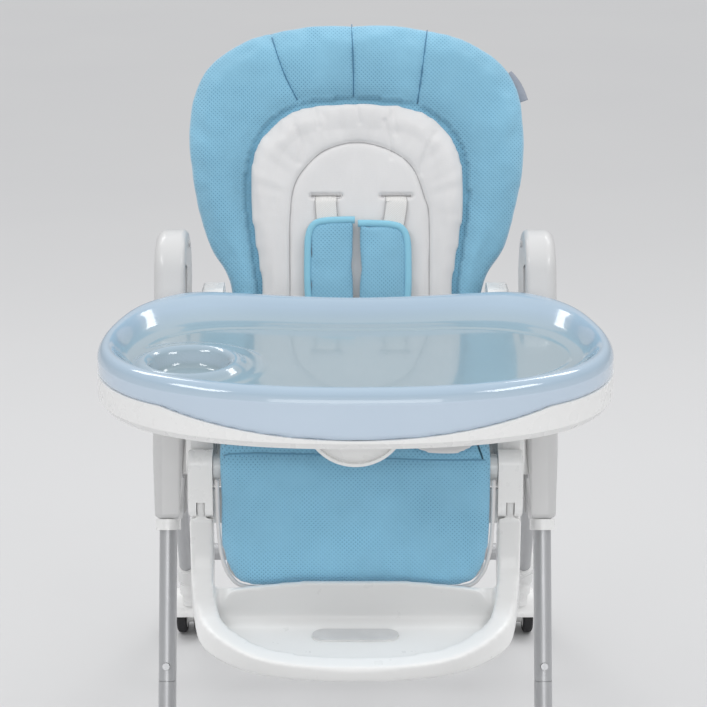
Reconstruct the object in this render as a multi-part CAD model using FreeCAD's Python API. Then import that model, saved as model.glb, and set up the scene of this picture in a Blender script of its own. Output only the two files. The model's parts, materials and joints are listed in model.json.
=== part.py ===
import FreeCAD, Part
import math
import os

from FreeCAD import Placement, Rotation, Vector

# Baby high chair, built as its separate pieces. Millimetres, +Z up, the child faces -Y,
# "right" pieces are on +X. The origin is on the floor, under the middle of the overall box.

# ---------------------------------------------------------------- driving dimensions
LEAN = 22.0               # posts lean back by this many degrees
FOOT_Y = -258.0           # where the post line meets the floor
LEG_X = 207.0             # centre of each post
TUBE_W, TUBE_D, TUBE_WALL = 18.0, 34.0, 1.8
LEG_START, LEG_END = 212.0, 655.0        # front leg tube, measured up the post line
SPIGOT_END = 300.0
SNAP_T = -5.0                            # back end of the snap button, behind the leg axis

HOUSING_IN, HOUSING_SPLIT, HOUSING_OUT = 189.0, 207.0, 224.0
HOUSING_WALL = 3.0
HOUSING_FRONT, HOUSING_BACK = -22.0, 86.0
HOUSING_LOW, HOUSING_TOP = 389.0, 716.0
HOUSING_ROUND = 53.9
SLOT_HALF = 13.0
SLOT_LOW, SLOT_TOP = 434.0, 672.0

FOLD_T, FOLD_S = 52.0, 500.0             # rear leg pivot, in the post's own directions
PIN_R = 5.0
RUN_GAP = 0.06                           # radial clearance of a running fit
CLEAR = 0.4                              # clearance between sliding faces

REAR_X, STEM_Y = 226.0, 329.0
WHEEL_R, TYRE_IN_R = 28.0, 21.5
TRAIL = 20.0
STEM_TOP, SOCKET_LOW = 92.0, 66.6
REAR_TUBE_W, REAR_TUBE_D = 18.0, 30.0

SEAT_IN, SEAT_SIDE_OUT, ARM_OUT = 150.0, 155.0, 174.0
SEAT_FLOOR, SEAT_PAD_TOP = 440.0, 474.0
ARM_LOW, ARM_TOP, ARM_WING = 505.0, 540.0, 590.0
CARRIAGE_LOW, CARRIAGE_TOP = 438.0, 518.0

BACK_RAKE = 18.66
BACK_Y, BACK_Z = 57.0, 463.6             # recline axis
BACK_PAD, LINER_PAD = 40.0, 12.0         # thickness of the back cushion and of its liner

KNEE_Y, KNEE_Z = -205.0, 462.0           # legrest axis
ANKLE_Y, ANKLE_Z = -212.0, 420.0         # footrest axis
SIDE_ARM_IN, SIDE_ARM_OUT = 149.0, 175.0
CALF_LOW = 332.0

TRAY_LOW, TRAY_LIP, TRAY_CREST, TRAY_FLOOR = 545.0, 579.0, 606.0, 590.0
CUP_X, CUP_Y, CUP_R, CUP_FLOOR = -166.0, -262.0, 36.0, 577.0

PARTS = {}


# ---------------------------------------------------------------- shape helpers
def box(x0, x1, y0, y1, z0, z1):
    return Part.makeBox(x1 - x0, y1 - y0, z1 - z0, Vector(x0, y0, z0))


def rod_x(radius, x0, x1, y, z):
    return Part.makeCylinder(radius, x1 - x0, Vector(x0, y, z), Vector(1, 0, 0))


def rod_z(radius, z0, z1, x, y):
    return Part.makeCylinder(radius, z1 - z0, Vector(x, y, z0), Vector(0, 0, 1))


def mirrored(shape):
    return shape.mirror(Vector(0, 0, 0), Vector(1, 0, 0))


def rounded_wire(corners, place):
    """Closed outline of straight runs with a tangent arc at each corner (u, v, radius)."""
    starts, ends, mids = [], [], []
    count = len(corners)
    for i, (u, v, radius) in enumerate(corners):
        here = Vector(u, v, 0)
        back = Vector(*corners[i - 1][:2], 0).sub(here).normalize()
        ahead = Vector(*corners[(i + 1) % count][:2], 0).sub(here).normalize()
        half = back.getAngle(ahead) / 2
        reach = radius / math.tan(half)
        middle = back.add(ahead).normalize()
        starts.append(here.add(back * reach))
        ends.append(here.add(ahead * reach))
        mids.append(here.add(middle * (radius / math.sin(half) - radius)))
    edges = []
    for i in range(count):
        if corners[i][2] > 0:
            arc = Part.Arc(*(place(p.x, p.y) for p in (starts[i], mids[i], ends[i])))
            edges.append(arc.toShape())
        nxt = starts[(i + 1) % count]
        if ends[i].distanceToPoint(nxt) > 1e-6:
            edges.append(Part.makeLine(place(ends[i].x, ends[i].y), place(nxt.x, nxt.y)))
    return Part.Wire(edges)


def slab_x(corners, x0, x1):
    """Outline in Y and Z, given thickness from x0 to x1."""
    face = Part.Face(rounded_wire(corners, lambda u, v: Vector(x0, u, v)))
    return face.extrude(Vector(x1 - x0, 0, 0))


def slab_y(corners, y0, y1):
    face = Part.Face(rounded_wire(corners, lambda u, v: Vector(u, y0, v)))
    return face.extrude(Vector(0, y1 - y0, 0))


def slab_z(corners, z0, z1):
    face = Part.Face(rounded_wire(corners, lambda u, v: Vector(u, v, z0)))
    return face.extrude(Vector(0, 0, z1 - z0))


def rectangle(u0, u1, v0, v1, radius):
    return [(u0, v0, radius), (u1, v0, radius), (u1, v1, radius), (u0, v1, radius)]


def moved_in(points, inset, closed):
    """The points of a curve, each moved to the left of its direction of travel by inset."""
    result = []
    last = len(points) - 1
    for i, (u, v) in enumerate(points):
        before = points[i - 1] if closed or i else points[i]
        after = points[(i + 1) % len(points)] if closed or i < last else points[i]
        du, dv = after[0] - before[0], after[1] - before[1]
        size = math.hypot(du, dv)
        result.append((u - dv / size * inset, v + du / size * inset))
    return result


def loop_wire(points, z):
    curve = Part.BSplineCurve()
    curve.interpolate([Vector(u, v, z) for u, v in points], PeriodicFlag=True)
    return Part.Wire([curve.toShape()])


def oval_bar(start, end, width, depth, side=Vector(1, 0, 0)):
    """Solid bar of rounded oblong section between two points; width lies along side."""
    run = end.sub(start)
    corner = min(width, depth) / 2 - 0.05
    bar = slab_z(rectangle(-width / 2, width / 2, -depth / 2, depth / 2, corner), 0, run.Length)
    bar.Placement = Placement(start, Rotation(side, Vector(0, 0, 0), run, "ZXY"))
    return bar


def oval_tube(start, end, width, depth, wall):
    outer = oval_bar(start, end, width, depth)
    return outer.cut(oval_bar(start, end, width - 2 * wall, depth - 2 * wall))


def fillet_on_plane(shape, axis, level, radius):
    """Round every edge that lies in the plane axis = level."""
    picked = []
    for edge in shape.Edges:
        bounds = edge.BoundBox
        low = getattr(bounds, axis + "Min")
        high = getattr(bounds, axis + "Max")
        if abs(low - level) < 0.01 and abs(high - level) < 0.01:
            picked.append(edge)
    return shape.makeFillet(radius, picked)


def fuse_all(shapes):
    return shapes[0].fuse(shapes[1:]).removeSplitter()


def on_post(shape):
    """From the post's own directions (x, back, up) to the leaning post of the chair."""
    return shape.copy().rotate(Vector(0, 0, 0), Vector(1, 0, 0), -LEAN).translate(
        Vector(0, FOOT_Y, 0))


def post_point(x, t, s):
    lean = math.radians(LEAN)
    return Vector(x, FOOT_Y + s * math.sin(lean) + t * math.cos(lean),
                  s * math.cos(lean) - t * math.sin(lean))


def on_back(shape):
    """From the backrest's own directions (x, -forward, up) to its place on the seat."""
    return shape.copy().rotate(Vector(0, 0, 0), Vector(1, 0, 0), -BACK_RAKE).translate(
        Vector(0, BACK_Y, BACK_Z))


def keep(name, shape):
    PARTS[name] = shape


def keep_pair(name, shape):
    keep(name + "_right", shape)
    keep(name + "_left", mirrored(shape))


def keep_group(name, shapes):
    keep(name, Part.makeCompound(shapes))


# ---------------------------------------------------------------- front frame
def front_leg():
    start, end = Vector(LEG_X, 0, LEG_START), Vector(LEG_X, 0, LEG_END)
    tube = oval_tube(start, end, TUBE_W, TUBE_D, TUBE_WALL)
    button_hole = snap_cylinder(4.3, -TUBE_D / 2 - 1, -8)
    return on_post(tube.cut(button_hole))


def snap_cylinder(radius, t0, t1):
    """A round plug through the front face of the post, at the snap joint."""
    return Part.makeCylinder(radius, t1 - t0, Vector(LEG_X, t0, LEG_START + 16),
                             Vector(0, 1, 0))


def base_path(section_w, section_d):
    """The U of the floor bar with its two uprights, as one bent tube of oblong section."""
    low, bend = 15.0, 45.0
    x = LEG_X
    c = bend * (1 - math.sqrt(0.5))
    right = [Part.makeLine(Vector(x, 0, LEG_START - 0.5), Vector(x, 0, low + bend)),
             Part.Arc(Vector(x, 0, low + bend), Vector(x - c, 0, low + c),
                      Vector(x - bend, 0, low)).toShape()]
    floor_run = [Part.makeLine(Vector(x - bend, 0, low), Vector(bend - x, 0, low))]
    left = [Part.Arc(Vector(bend - x, 0, low), Vector(c - x, 0, low + c),
                     Vector(-x, 0, low + bend)).toShape(),
            Part.makeLine(Vector(-x, 0, low + bend), Vector(-x, 0, LEG_START - 0.5))]
    section = rounded_wire(
        rectangle(x - section_w / 2, x + section_w / 2, -section_d / 2, section_d / 2,
                  section_w / 2 - 0.05),
        lambda u, v: Vector(u, v, LEG_START - 0.5))
    return Part.Wire(right + floor_run + left).makePipeShell([section], True, False)


def front_base_tube():
    outer = base_path(TUBE_W, TUBE_D)
    tube = outer.cut(base_path(TUBE_W - 2 * TUBE_WALL, TUBE_D - 2 * TUBE_WALL))
    slack, grip = 2 * TUBE_WALL + 0.4, 2 * TUBE_WALL - 0.4
    low, mouth = Vector(LEG_X, 0, LEG_START - 30), Vector(LEG_X, 0, LEG_START - 1)
    high = Vector(LEG_X, 0, SPIGOT_END)
    plug = oval_bar(low, mouth, TUBE_W - grip, TUBE_D - grip)
    spigot = plug.fuse(oval_bar(low, high, TUBE_W - slack, TUBE_D - slack))
    inner = 2 * TUBE_WALL + slack
    spigot = spigot.cut(oval_bar(low, high, TUBE_W - inner, TUBE_D - inner))
    spigot = spigot.cut(snap_cylinder(4.3, -TUBE_D / 2 - 1, -6))
    return on_post(tube.fuse([spigot, mirrored(spigot)]))


def snap_button():
    pin = snap_cylinder(4.0, -TUBE_D / 2 - 2.2, SNAP_T)
    flange = snap_cylinder(4.9, SNAP_T - 3.0, SNAP_T)
    return on_post(pin.fuse(flange))


def front_foot():
    """A moulded foot clipped round the floor bar, flat underneath."""
    centre = post_point(0, 0, 15.0)
    block = slab_x([(centre.y - 24, 0, 2), (centre.y + 24, 0, 2), (centre.y + 21, 30, 9),
                    (centre.y - 21, 30, 9)], 118, 160)
    bar = oval_bar(Vector(100, 0, 15), Vector(180, 0, 15), TUBE_W + 0.2, TUBE_D + 0.2,
                   side=Vector(0, 0, 1))
    return block.cut(on_post(bar))


def leg_collar():
    ring = slab_z(rectangle(LEG_X - 13, LEG_X + 13, -21, 21, 12.5), HOUSING_LOW - 12,
                  HOUSING_LOW)
    bore = oval_bar(Vector(LEG_X, 0, 300), Vector(LEG_X, 0, 500), TUBE_W + 0.3,
                    TUBE_D + 0.3)
    return on_post(ring.cut(bore))


# ---------------------------------------------------------------- post housings
def housing_outline(inset):
    front, back = HOUSING_FRONT + inset, HOUSING_BACK - inset
    low, top = HOUSING_LOW + inset, HOUSING_TOP - inset
    return [(front, low, 6), (24 - inset * 0.6, low, 6), (back, 468 + inset * 0.4, 28),
            (back, top, HOUSING_ROUND - inset), (front, top, HOUSING_ROUND - inset)]


SCREWS = [(74.0, 548.0), (74.0, 622.0), (32.0, 700.0)]


def swing_window():
    """The open back of the housing, between its two cheeks, where the rear leg swings."""
    return box(HOUSING_IN + HOUSING_WALL, HOUSING_OUT - HOUSING_WALL, 27, 100, 380, 526)


def leg_socket():
    """The housing stays solid round the leg at its low end, apart from the leg's bore."""
    return box(HOUSING_IN, HOUSING_OUT, -30, 26, 380, 424)


def leg_bore():
    return oval_bar(Vector(LEG_X, 0, 380), Vector(LEG_X, 0, 430), TUBE_W + 0.3, TUBE_D + 0.3)


def taper_cut(inside):
    """Planes that thin the housing's lower end down to the collar."""
    face, waist = (HOUSING_IN, LEG_X - 13) if inside else (HOUSING_OUT, LEG_X + 13)
    step = -30 if inside else 30
    corners = [(face + step, 340), (face, 470), (waist, 388), (waist, 340)]
    wire = Part.makePolygon([Vector(x, -60, s) for x, s in corners + corners[:1]])
    return Part.Face(wire).extrude(Vector(0, 87, 0))


def housing_outer():
    body = slab_x(housing_outline(0), HOUSING_SPLIT, HOUSING_OUT)
    body = fillet_on_plane(body, "X", HOUSING_OUT, 12.0)
    hollow = slab_x(housing_outline(HOUSING_WALL), HOUSING_SPLIT, HOUSING_OUT - HOUSING_WALL)
    hollow = fillet_on_plane(hollow, "X", HOUSING_OUT - HOUSING_WALL, 9.0)
    body = body.cut(hollow.cut(leg_socket())).cut(swing_window())
    for t, s in SCREWS:
        body = body.fuse(rod_x(4.5, HOUSING_IN + HOUSING_WALL + 0.2, 222, t, s))
    holes = [rod_x(1.6, HOUSING_IN, 212, t, s) for t, s in SCREWS]
    holes.append(rod_x(PIN_R + 0.02, HOUSING_IN, HOUSING_OUT + 1, FOLD_T, FOLD_S))
    holes.append(rod_x(9.4, HOUSING_SPLIT, HOUSING_OUT + 1, 42, 636))
    holes += [taper_cut(False), leg_bore()]
    return on_post(body.cut(holes))


def housing_inner():
    body = slab_x(housing_outline(0), HOUSING_IN, HOUSING_SPLIT)
    body = fillet_on_plane(body, "X", HOUSING_IN, 6.0)
    hollow = slab_x(housing_outline(HOUSING_WALL), HOUSING_IN + HOUSING_WALL, HOUSING_SPLIT)
    hollow = fillet_on_plane(hollow, "X", HOUSING_IN + HOUSING_WALL, 3.5)
    cuts = [hollow.cut(leg_socket()), swing_window(), taper_cut(True), leg_bore(),
            slab_x(rectangle(-SLOT_HALF, SLOT_HALF, SLOT_LOW, SLOT_TOP, 4), 180, 196),
            rod_x(PIN_R + 0.02, 180, 200, FOLD_T, FOLD_S)]
    cuts += [rod_x(1.6, 180, 200, t, s) for t, s in SCREWS]
    return on_post(body.cut(cuts))


def housing_screws():
    one_side = []
    for t, s in SCREWS:
        head = rod_x(4.0, HOUSING_IN - 1.6, HOUSING_IN, t, s)
        slot = box(HOUSING_IN - 2, HOUSING_IN - 0.8, t - 3, t + 3, s - 0.5, s + 0.5)
        shank = rod_x(1.55, HOUSING_IN, 211, t, s)
        one_side.append(on_post(head.cut(slot).fuse(shank)))
    return one_side + [mirrored(s) for s in one_side]


def fold_pins():
    pin = rod_x(PIN_R, HOUSING_IN - 1.5, HOUSING_OUT + 1.5, FOLD_T, FOLD_S)
    heads = [rod_x(9.0, HOUSING_OUT, HOUSING_OUT + 2.5, FOLD_T, FOLD_S),
             rod_x(8.0, HOUSING_IN - 2.0, HOUSING_IN, FOLD_T, FOLD_S)]
    right = on_post(pin.fuse(heads))
    return [right, mirrored(right)]


def fold_button():
    """Round push button in the housing's outer face, with a flange that keeps it in."""
    cap = rod_x(9.0, 213, HOUSING_OUT + 2.6, 42, 636)
    cap = fillet_on_plane(cap, "X", HOUSING_OUT + 2.6, 1.6)
    flange = rod_x(12.0, 213, 216.5, 42, 636)
    return on_post(cap.fuse(flange))


# ---------------------------------------------------------------- rear legs and casters
def fold_axis():
    return post_point(0, FOLD_T, FOLD_S)


def leg_end():
    return Vector(REAR_X, STEM_Y - 30, 114)


def leg_start(distance):
    """A point on the rear leg's centre line, this far from the fold axis."""
    pivot = fold_axis()
    pivot.x = LEG_X - 1.5
    return pivot.add(leg_end().sub(pivot).normalize() * distance)


def rear_leg():
    return oval_tube(leg_start(34), leg_end(), REAR_TUBE_W, REAR_TUBE_D, TUBE_WALL)


def rear_knuckle():
    pivot = fold_axis()
    disc = rod_x(23.5, 192.6, 220.4, pivot.y, pivot.z)
    sleeve = oval_bar(leg_start(0), leg_start(84), 22.4, 36)
    bore = oval_bar(leg_start(34), leg_start(100), REAR_TUBE_W + 0.2, REAR_TUBE_D + 0.2)
    pin = rod_x(PIN_R + RUN_GAP, 180, 230, pivot.y, pivot.z)
    return disc.fuse(sleeve).cut([bore, pin])


def rear_cross_tube():
    """Tube between the rear legs, low down, its ends shaped to their sides."""
    at = leg_start(0).add(leg_end().sub(leg_start(0)) * 0.86)
    leg = oval_bar(leg_start(34), leg_end(), REAR_TUBE_W, REAR_TUBE_D)
    outer = rod_x(11.0, -at.x, at.x, at.y, at.z)
    tube = outer.cut([rod_x(9.4, -at.x, at.x, at.y, at.z), leg, mirrored(leg)])
    return max(tube.Solids, key=lambda solid: solid.Volume)


def caster_socket():
    along = leg_start(0).sub(leg_end()).normalize()
    sleeve = oval_bar(leg_end().sub(along * 14), leg_end().add(along * 34), 26, 38)
    boss = rod_z(13.0, SOCKET_LOW, 112, REAR_X, STEM_Y)
    bridge = oval_bar(Vector(REAR_X, STEM_Y, 98), leg_end(), 24, 26)
    tube_bore = oval_bar(leg_end(), leg_end().add(along * 60), REAR_TUBE_W + 0.2,
                         REAR_TUBE_D + 0.2)
    stem_bore = rod_z(PIN_R + RUN_GAP, SOCKET_LOW - 1, STEM_TOP + 1, REAR_X, STEM_Y)
    below = box(200, 252, 240, 360, 40, SOCKET_LOW)
    return sleeve.fuse([boss, bridge]).cut([tube_bore, stem_bore, below])


def arc_band(inner, outer, start, stop, x0, x1):
    """Part of a ring about the wheel axle, from start to stop degrees up from the back."""
    cy, cz = STEM_Y + TRAIL, WHEEL_R
    points = []
    for radius, first, last in ((outer, start, stop), (inner, stop, start)):
        for angle in (first, (first + last) / 2, last):
            a = math.radians(angle)
            points.append(Vector(x0, cy + radius * math.cos(a), cz + radius * math.sin(a)))
    edges = [Part.Arc(*points[:3]).toShape(), Part.makeLine(points[2], points[3]),
             Part.Arc(*points[3:]).toShape(), Part.makeLine(points[5], points[0])]
    return Part.Face(Part.Wire(edges)).extrude(Vector(x1 - x0, 0, 0))


def pedal_axis():
    a = math.radians(45)
    return STEM_Y + TRAIL + 33.5 * math.cos(a), WHEEL_R + 33.5 * math.sin(a)


def caster_hood():
    cy = STEM_Y + TRAIL
    hood = arc_band(30.4, 33.0, 64, 168, REAR_X - 19.5, REAR_X + 19.5)
    web = arc_band(8, 31, 20, 168, REAR_X - 4, REAR_X + 4)
    y, z = pedal_axis()
    hub = rod_x(14, REAR_X - 4, REAR_X + 4, cy, WHEEL_R)
    hub = hub.fuse(rod_x(4.6, REAR_X - 4, REAR_X + 4, y, z))
    neck = rod_z(10.0, 50, SOCKET_LOW - 0.5, REAR_X, STEM_Y)
    neck = neck.cut(rod_x(30.4, REAR_X - 20, REAR_X - 4, cy, WHEEL_R))
    neck = neck.cut(rod_x(30.4, REAR_X + 4, REAR_X + 20, cy, WHEEL_R))
    stem = rod_z(PIN_R, 60, STEM_TOP, REAR_X, STEM_Y)
    hole = rod_x(2.06, REAR_X - 10, REAR_X + 10, y, z)
    axle = rod_x(4.0, REAR_X - 20, REAR_X + 20, cy, WHEEL_R)
    return hood.fuse([web, hub, neck, stem]).cut([hole, axle])


def caster_axle():
    cy = STEM_Y + TRAIL
    shaft = rod_x(4.0, REAR_X - 19.6, REAR_X + 19.6, cy, WHEEL_R)
    caps = [rod_x(6.5, REAR_X + 19.2, REAR_X + 20.6, cy, WHEEL_R),
            rod_x(6.5, REAR_X - 20.6, REAR_X - 19.2, cy, WHEEL_R)]
    return shaft.fuse(caps)


def twin(profile):
    """A solid turned about the axle, once on each side of the hood's web."""
    outline = [Vector(REAR_X + x, STEM_Y + TRAIL, WHEEL_R + r) for x, r in profile]
    face = Part.Face(Part.makePolygon(outline + outline[:1]))
    one = face.revolve(Vector(REAR_X, STEM_Y + TRAIL, WHEEL_R), Vector(1, 0, 0), 360)
    other = one.mirror(Vector(REAR_X, 0, 0), Vector(1, 0, 0))
    return [one, other]


def wheel_hubs():
    bore = 4.0 + RUN_GAP
    return twin([(4.6, bore), (18.8, bore), (18.8, 8), (16, 9.5), (15, 18.5), (17.6, 19.5),
                 (17.6, TYRE_IN_R), (5.4, TYRE_IN_R), (5.4, 8), (4.6, 8)])


def wheel_tyres():
    return twin([(5.0, TYRE_IN_R), (18.2, TYRE_IN_R), (18.6, 24.5), (16.4, WHEEL_R - 0.4),
                 (13.6, WHEEL_R), (9.6, WHEEL_R), (6.8, WHEEL_R - 0.4), (5.0, 24.5)])


def brake_pedal():
    y, z = pedal_axis()
    fork = [rod_x(4.4, REAR_X + side * 7 - 2.4, REAR_X + side * 7 + 2.4, y, z)
            for side in (-1, 1)]
    pin = rod_x(2.0, REAR_X - 9.4, REAR_X + 9.4, y, z)
    tread = slab_x([(y + 5.2, z - 2.5, 1), (394.0, z - 1.5, 1), (393.0, z + 4.5, 1.5),
                    (y + 5.2, z + 4.0, 1)], REAR_X - 15, REAR_X + 15)
    arms = [box(REAR_X + side * 7 - 2.4, REAR_X + side * 7 + 2.4, y, y + 6, z - 2.4, z + 2.4)
            for side in (-1, 1)]
    return fork[0].fuse([fork[1], pin, tread] + arms)


# ---------------------------------------------------------------- seat
def seat_shell():
    floor = box(-SEAT_SIDE_OUT, SEAT_SIDE_OUT, -188, 36, SEAT_FLOOR, SEAT_FLOOR + 4)
    wall_outline = [(-188, SEAT_FLOOR, 10), (66, SEAT_FLOOR, 18), (84, 470, 14),
                    (70, ARM_LOW, 0), (-188, ARM_LOW, 0)]
    parts = [floor]
    for side in (1, -1):
        wall = slab_x(wall_outline, SEAT_IN, SEAT_SIDE_OUT)
        lug = slab_x([(-150, 432, 0), (-150, 441, 0), (-186, 441, 0), (-186, 466, 2),
                      (KNEE_Y - 11.5, KNEE_Z + 11.5, 11), (KNEE_Y - 11.5, KNEE_Z - 11.5, 11),
                      (-194, 432, 4)], 139, 148.6)
        side_parts = [wall, lug]
        parts += side_parts if side > 0 else [mirrored(p) for p in side_parts]
    parts += [box(x - 2, x + 2, -180, 30, SEAT_FLOOR - 9, SEAT_FLOOR)
              for x in (-100, -50, 0, 50, 100)]
    parts.append(box(-146, 146, -150, -146, SEAT_FLOOR - 9, SEAT_FLOOR))
    holes = [rod_x(4.0 + RUN_GAP, -200, 200, KNEE_Y, KNEE_Z),
             rod_x(PIN_R, -200, 200, BACK_Y, BACK_Z),
             slab_z(rectangle(-22, 22, -152, -146.2, 0.5), 400, 470)]
    return parts[0].fuse(parts[1:]).cut(holes).removeSplitter()


def seat_carriage():
    """Block bolted to the seat's side, with a T-shaped runner inside the post housing."""
    plate = slab_x(rectangle(-26, 26, CARRIAGE_LOW, CARRIAGE_TOP, 12),
                   SEAT_SIDE_OUT + 21, HOUSING_IN - 3)
    neck = slab_x(rectangle(CLEAR - SLOT_HALF, SLOT_HALF - CLEAR, CARRIAGE_LOW,
                            CARRIAGE_TOP, 3.6), HOUSING_IN - 3, HOUSING_IN + 3.6)
    runner = slab_x(rectangle(-15.4, 19, CARRIAGE_LOW + 4, CARRIAGE_TOP - 12, 3),
                    HOUSING_IN + 3.6, HOUSING_IN + 8.4)
    sliding = on_post(fuse_all([plate, neck, runner]))
    web = slab_x([(-120, SEAT_FLOOR + 1, 6), (-24, SEAT_FLOOR + 1, 6), (-24, 490, 10),
                  (-120, 490, 10)], SEAT_SIDE_OUT, SEAT_SIDE_OUT + 21)
    return sliding.fuse(web)


def armrest_profile():
    return [(-190, ARM_LOW, 4), (70, ARM_LOW, 4), (58, 578, 12), (42, ARM_WING, 12),
            (6, ARM_WING, 18), (-22, ARM_TOP, 24), (-190, ARM_TOP, 10)]


def button_pocket(grow, x0, x1):
    return slab_x(rectangle(14 - grow, 40 + grow, 552 - grow, 566 + grow, 5), x0, x1)


def armrest():
    rest = slab_x(armrest_profile(), SEAT_IN, ARM_OUT)
    rest = fillet_on_plane(rest, "X", ARM_OUT, 3.5)
    cheek = slab_x([(-189, SEAT_FLOOR + 4, 6), (-140, SEAT_FLOOR + 4, 20), (-128, ARM_LOW + 8, 2),
                    (-189, ARM_LOW + 8, 2)], SEAT_SIDE_OUT, ARM_OUT - 0.4)
    rest = rest.fuse(cheek)
    return rest.cut(button_pocket(CLEAR, 160.5, ARM_OUT + 1))


def height_button():
    return fillet_on_plane(button_pocket(0, 166, ARM_OUT + 2.4), "X", ARM_OUT + 2.4, 1.5)


def recline_pins():
    pin = rod_x(PIN_R, 140.5, SEAT_SIDE_OUT + 1, BACK_Y, BACK_Z)
    head = rod_x(9.0, SEAT_SIDE_OUT, SEAT_SIDE_OUT + 3, BACK_Y, BACK_Z)
    return pin.fuse(head)


def seat_pad():
    low = SEAT_FLOOR + 4.4
    return slab_x([(-184, low, 6), (34, low, 3), (34, SEAT_PAD_TOP, 10),
                   (-184, SEAT_PAD_TOP, 14)], -148, 148)


def crotch_strap():
    """Webbing up through the seat, over the pad's top to the buckle."""
    return box(-14, 14, -149, -104, SEAT_PAD_TOP + 0.4, SEAT_PAD_TOP + 2.4)


def waist_straps():
    low = SEAT_PAD_TOP + 0.4
    right = box(23, 146, -92, -68, low, low + 2)
    return [right, mirrored(right)]


def harness_buckle():
    low = SEAT_PAD_TOP + 0.5
    body = slab_z(rectangle(-22.5, 22.5, -103.5, -56, 11), low, low + 15)
    body = fillet_on_plane(body, "Z", low + 15, 3)
    return body.cut(rod_z(10.4, low + 6, low + 20, 0, -80))


def buckle_button():
    low = SEAT_PAD_TOP + 0.5
    cap = rod_z(10.0, low + 9.5, low + 16.2, 0, -80)
    return fillet_on_plane(cap, "Z", low + 16.2, 1.2)


# ---------------------------------------------------------------- backrest
BACK_OUTLINE = [(145, 16), (147, 62), (149, 100), (156, 122), (168, 144), (177, 172),
                (187, 215), (194, 255), (195, 296), (188, 335), (168, 370), (128, 397),
                (72, 413)]
LINER_OUTLINE = [(112, 22), (112, 100), (119, 160), (124, 215), (119, 262), (96, 299),
                 (58, 320)]


def back_slab(outline, top, inset, front0, front1):
    """Solid of an outline in the backrest's plane, between two distances in front of it."""
    right = moved_in(outline, inset, False)
    left = [(-x, h) for x, h in reversed(right)]
    points = [Vector(x, -front0, h) for x, h in right + [(0, top - inset)] + left]
    curve = Part.BSplineCurve()
    curve.interpolate(points)
    edges = [curve.toShape(), Part.makeLine(points[-1], points[0])]
    return Part.Face(Part.Wire(edges)).extrude(Vector(0, front0 - front1, 0))


def backrest_shell():
    dish = back_slab(BACK_OUTLINE, 418, 12, -16, 0)
    dish = fillet_on_plane(dish, "Y", 16, 9)
    hollow = back_slab(BACK_OUTLINE, 418, 16, -12, 0.5)
    parts = []
    for side in (1, -1):
        ear = slab_x([(1.5, 60, 1), (1.5, 15, 0.5), (-12.5, 13, 12), (-12.5, -12.5, 12.4),
                      (12.5, -12.5, 12.4), (12.5, 60, 3)], 143, 149.4)
        web = box(125, 149.4, 4, 12.5, 20, 58)
        guide = box(41, 46, 15, 29.6, 296, 342)
        lip = box(35, 46, 27.6, 29.6, 296, 342)
        pieces = [ear, web, guide, lip]
        parts += pieces if side > 0 else [mirrored(p) for p in pieces]
    ribs = [box(x - 1.5, x + 1.5, 3, 13, 30, 372) for x in (-90, 0, 90)]
    pins = rod_x(PIN_R + RUN_GAP, -200, 200, 0, 0)
    slots = [slab_y(rectangle(x - 16, x + 16, 208, 216, 2), 0, 30) for x in (-40, 40)]
    shell = dish.cut(hollow).fuse(parts + ribs).cut([pins] + slots)
    return on_back(shell)


def backrest_pad():
    pad = back_slab(BACK_OUTLINE, 418, 0, 0.6, BACK_PAD)
    pad = fillet_on_plane(pad, "Y", -BACK_PAD, 14)
    return on_back(fillet_on_plane(pad, "Y", -0.6, 8))


def liner_pad():
    front = BACK_PAD + 0.4
    pad = back_slab(LINER_OUTLINE, 325, 0, front, front + LINER_PAD)
    return on_back(fillet_on_plane(pad, "Y", -front - LINER_PAD, 5))


def shoulder_straps():
    front = BACK_PAD + LINER_PAD + 0.8
    right = on_back(box(28, 53, -front - 1.6, -front, 26, 212))
    return [right, mirrored(right)]


def shoulder_pad():
    front = BACK_PAD + LINER_PAD + 2.8
    pad = slab_y(rectangle(2, 60, 88, 188, 14), -front - 12, -front)
    return on_back(fillet_on_plane(pad, "Y", -front - 12, 4))


def recline_lever():
    """Squeeze handle on the back, a loop that slides up between two guides."""
    loop = slab_y(rectangle(-40, 40, 300, 332, 9), 17, 27)
    grip = slab_y(rectangle(-29, 29, 309, 323, 5), 10, 30)
    loop = fillet_on_plane(loop, "Y", 27, 2.5)
    return on_back(loop.cut(grip))


# ---------------------------------------------------------------- legrest and footrest
def legrest_board():
    panel = slab_y([(-136, CALF_LOW, 24), (136, CALF_LOW, 24), (136, 400, 0), (149, 400, 0),
                    (149, 438, 0), (136, 438, 0), (136, 458, 6), (-136, 458, 6),
                    (-136, 438, 0), (-149, 438, 0), (-149, 400, 0), (-136, 400, 0)],
                   -217, -211)
    return panel


def legrest_pad():
    pad = slab_y([(-118, CALF_LOW - 4, 20), (118, CALF_LOW - 4, 20), (143, 352, 24),
                  (144, 466, 8), (-144, 466, 8), (-143, 352, 24)], -236, -217.4)
    return fillet_on_plane(pad, "Y", -236, 7)


def ankle_round(radius, x0, x1):
    return rod_x(radius, x0, x1, ANKLE_Y, ANKLE_Z)


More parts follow.
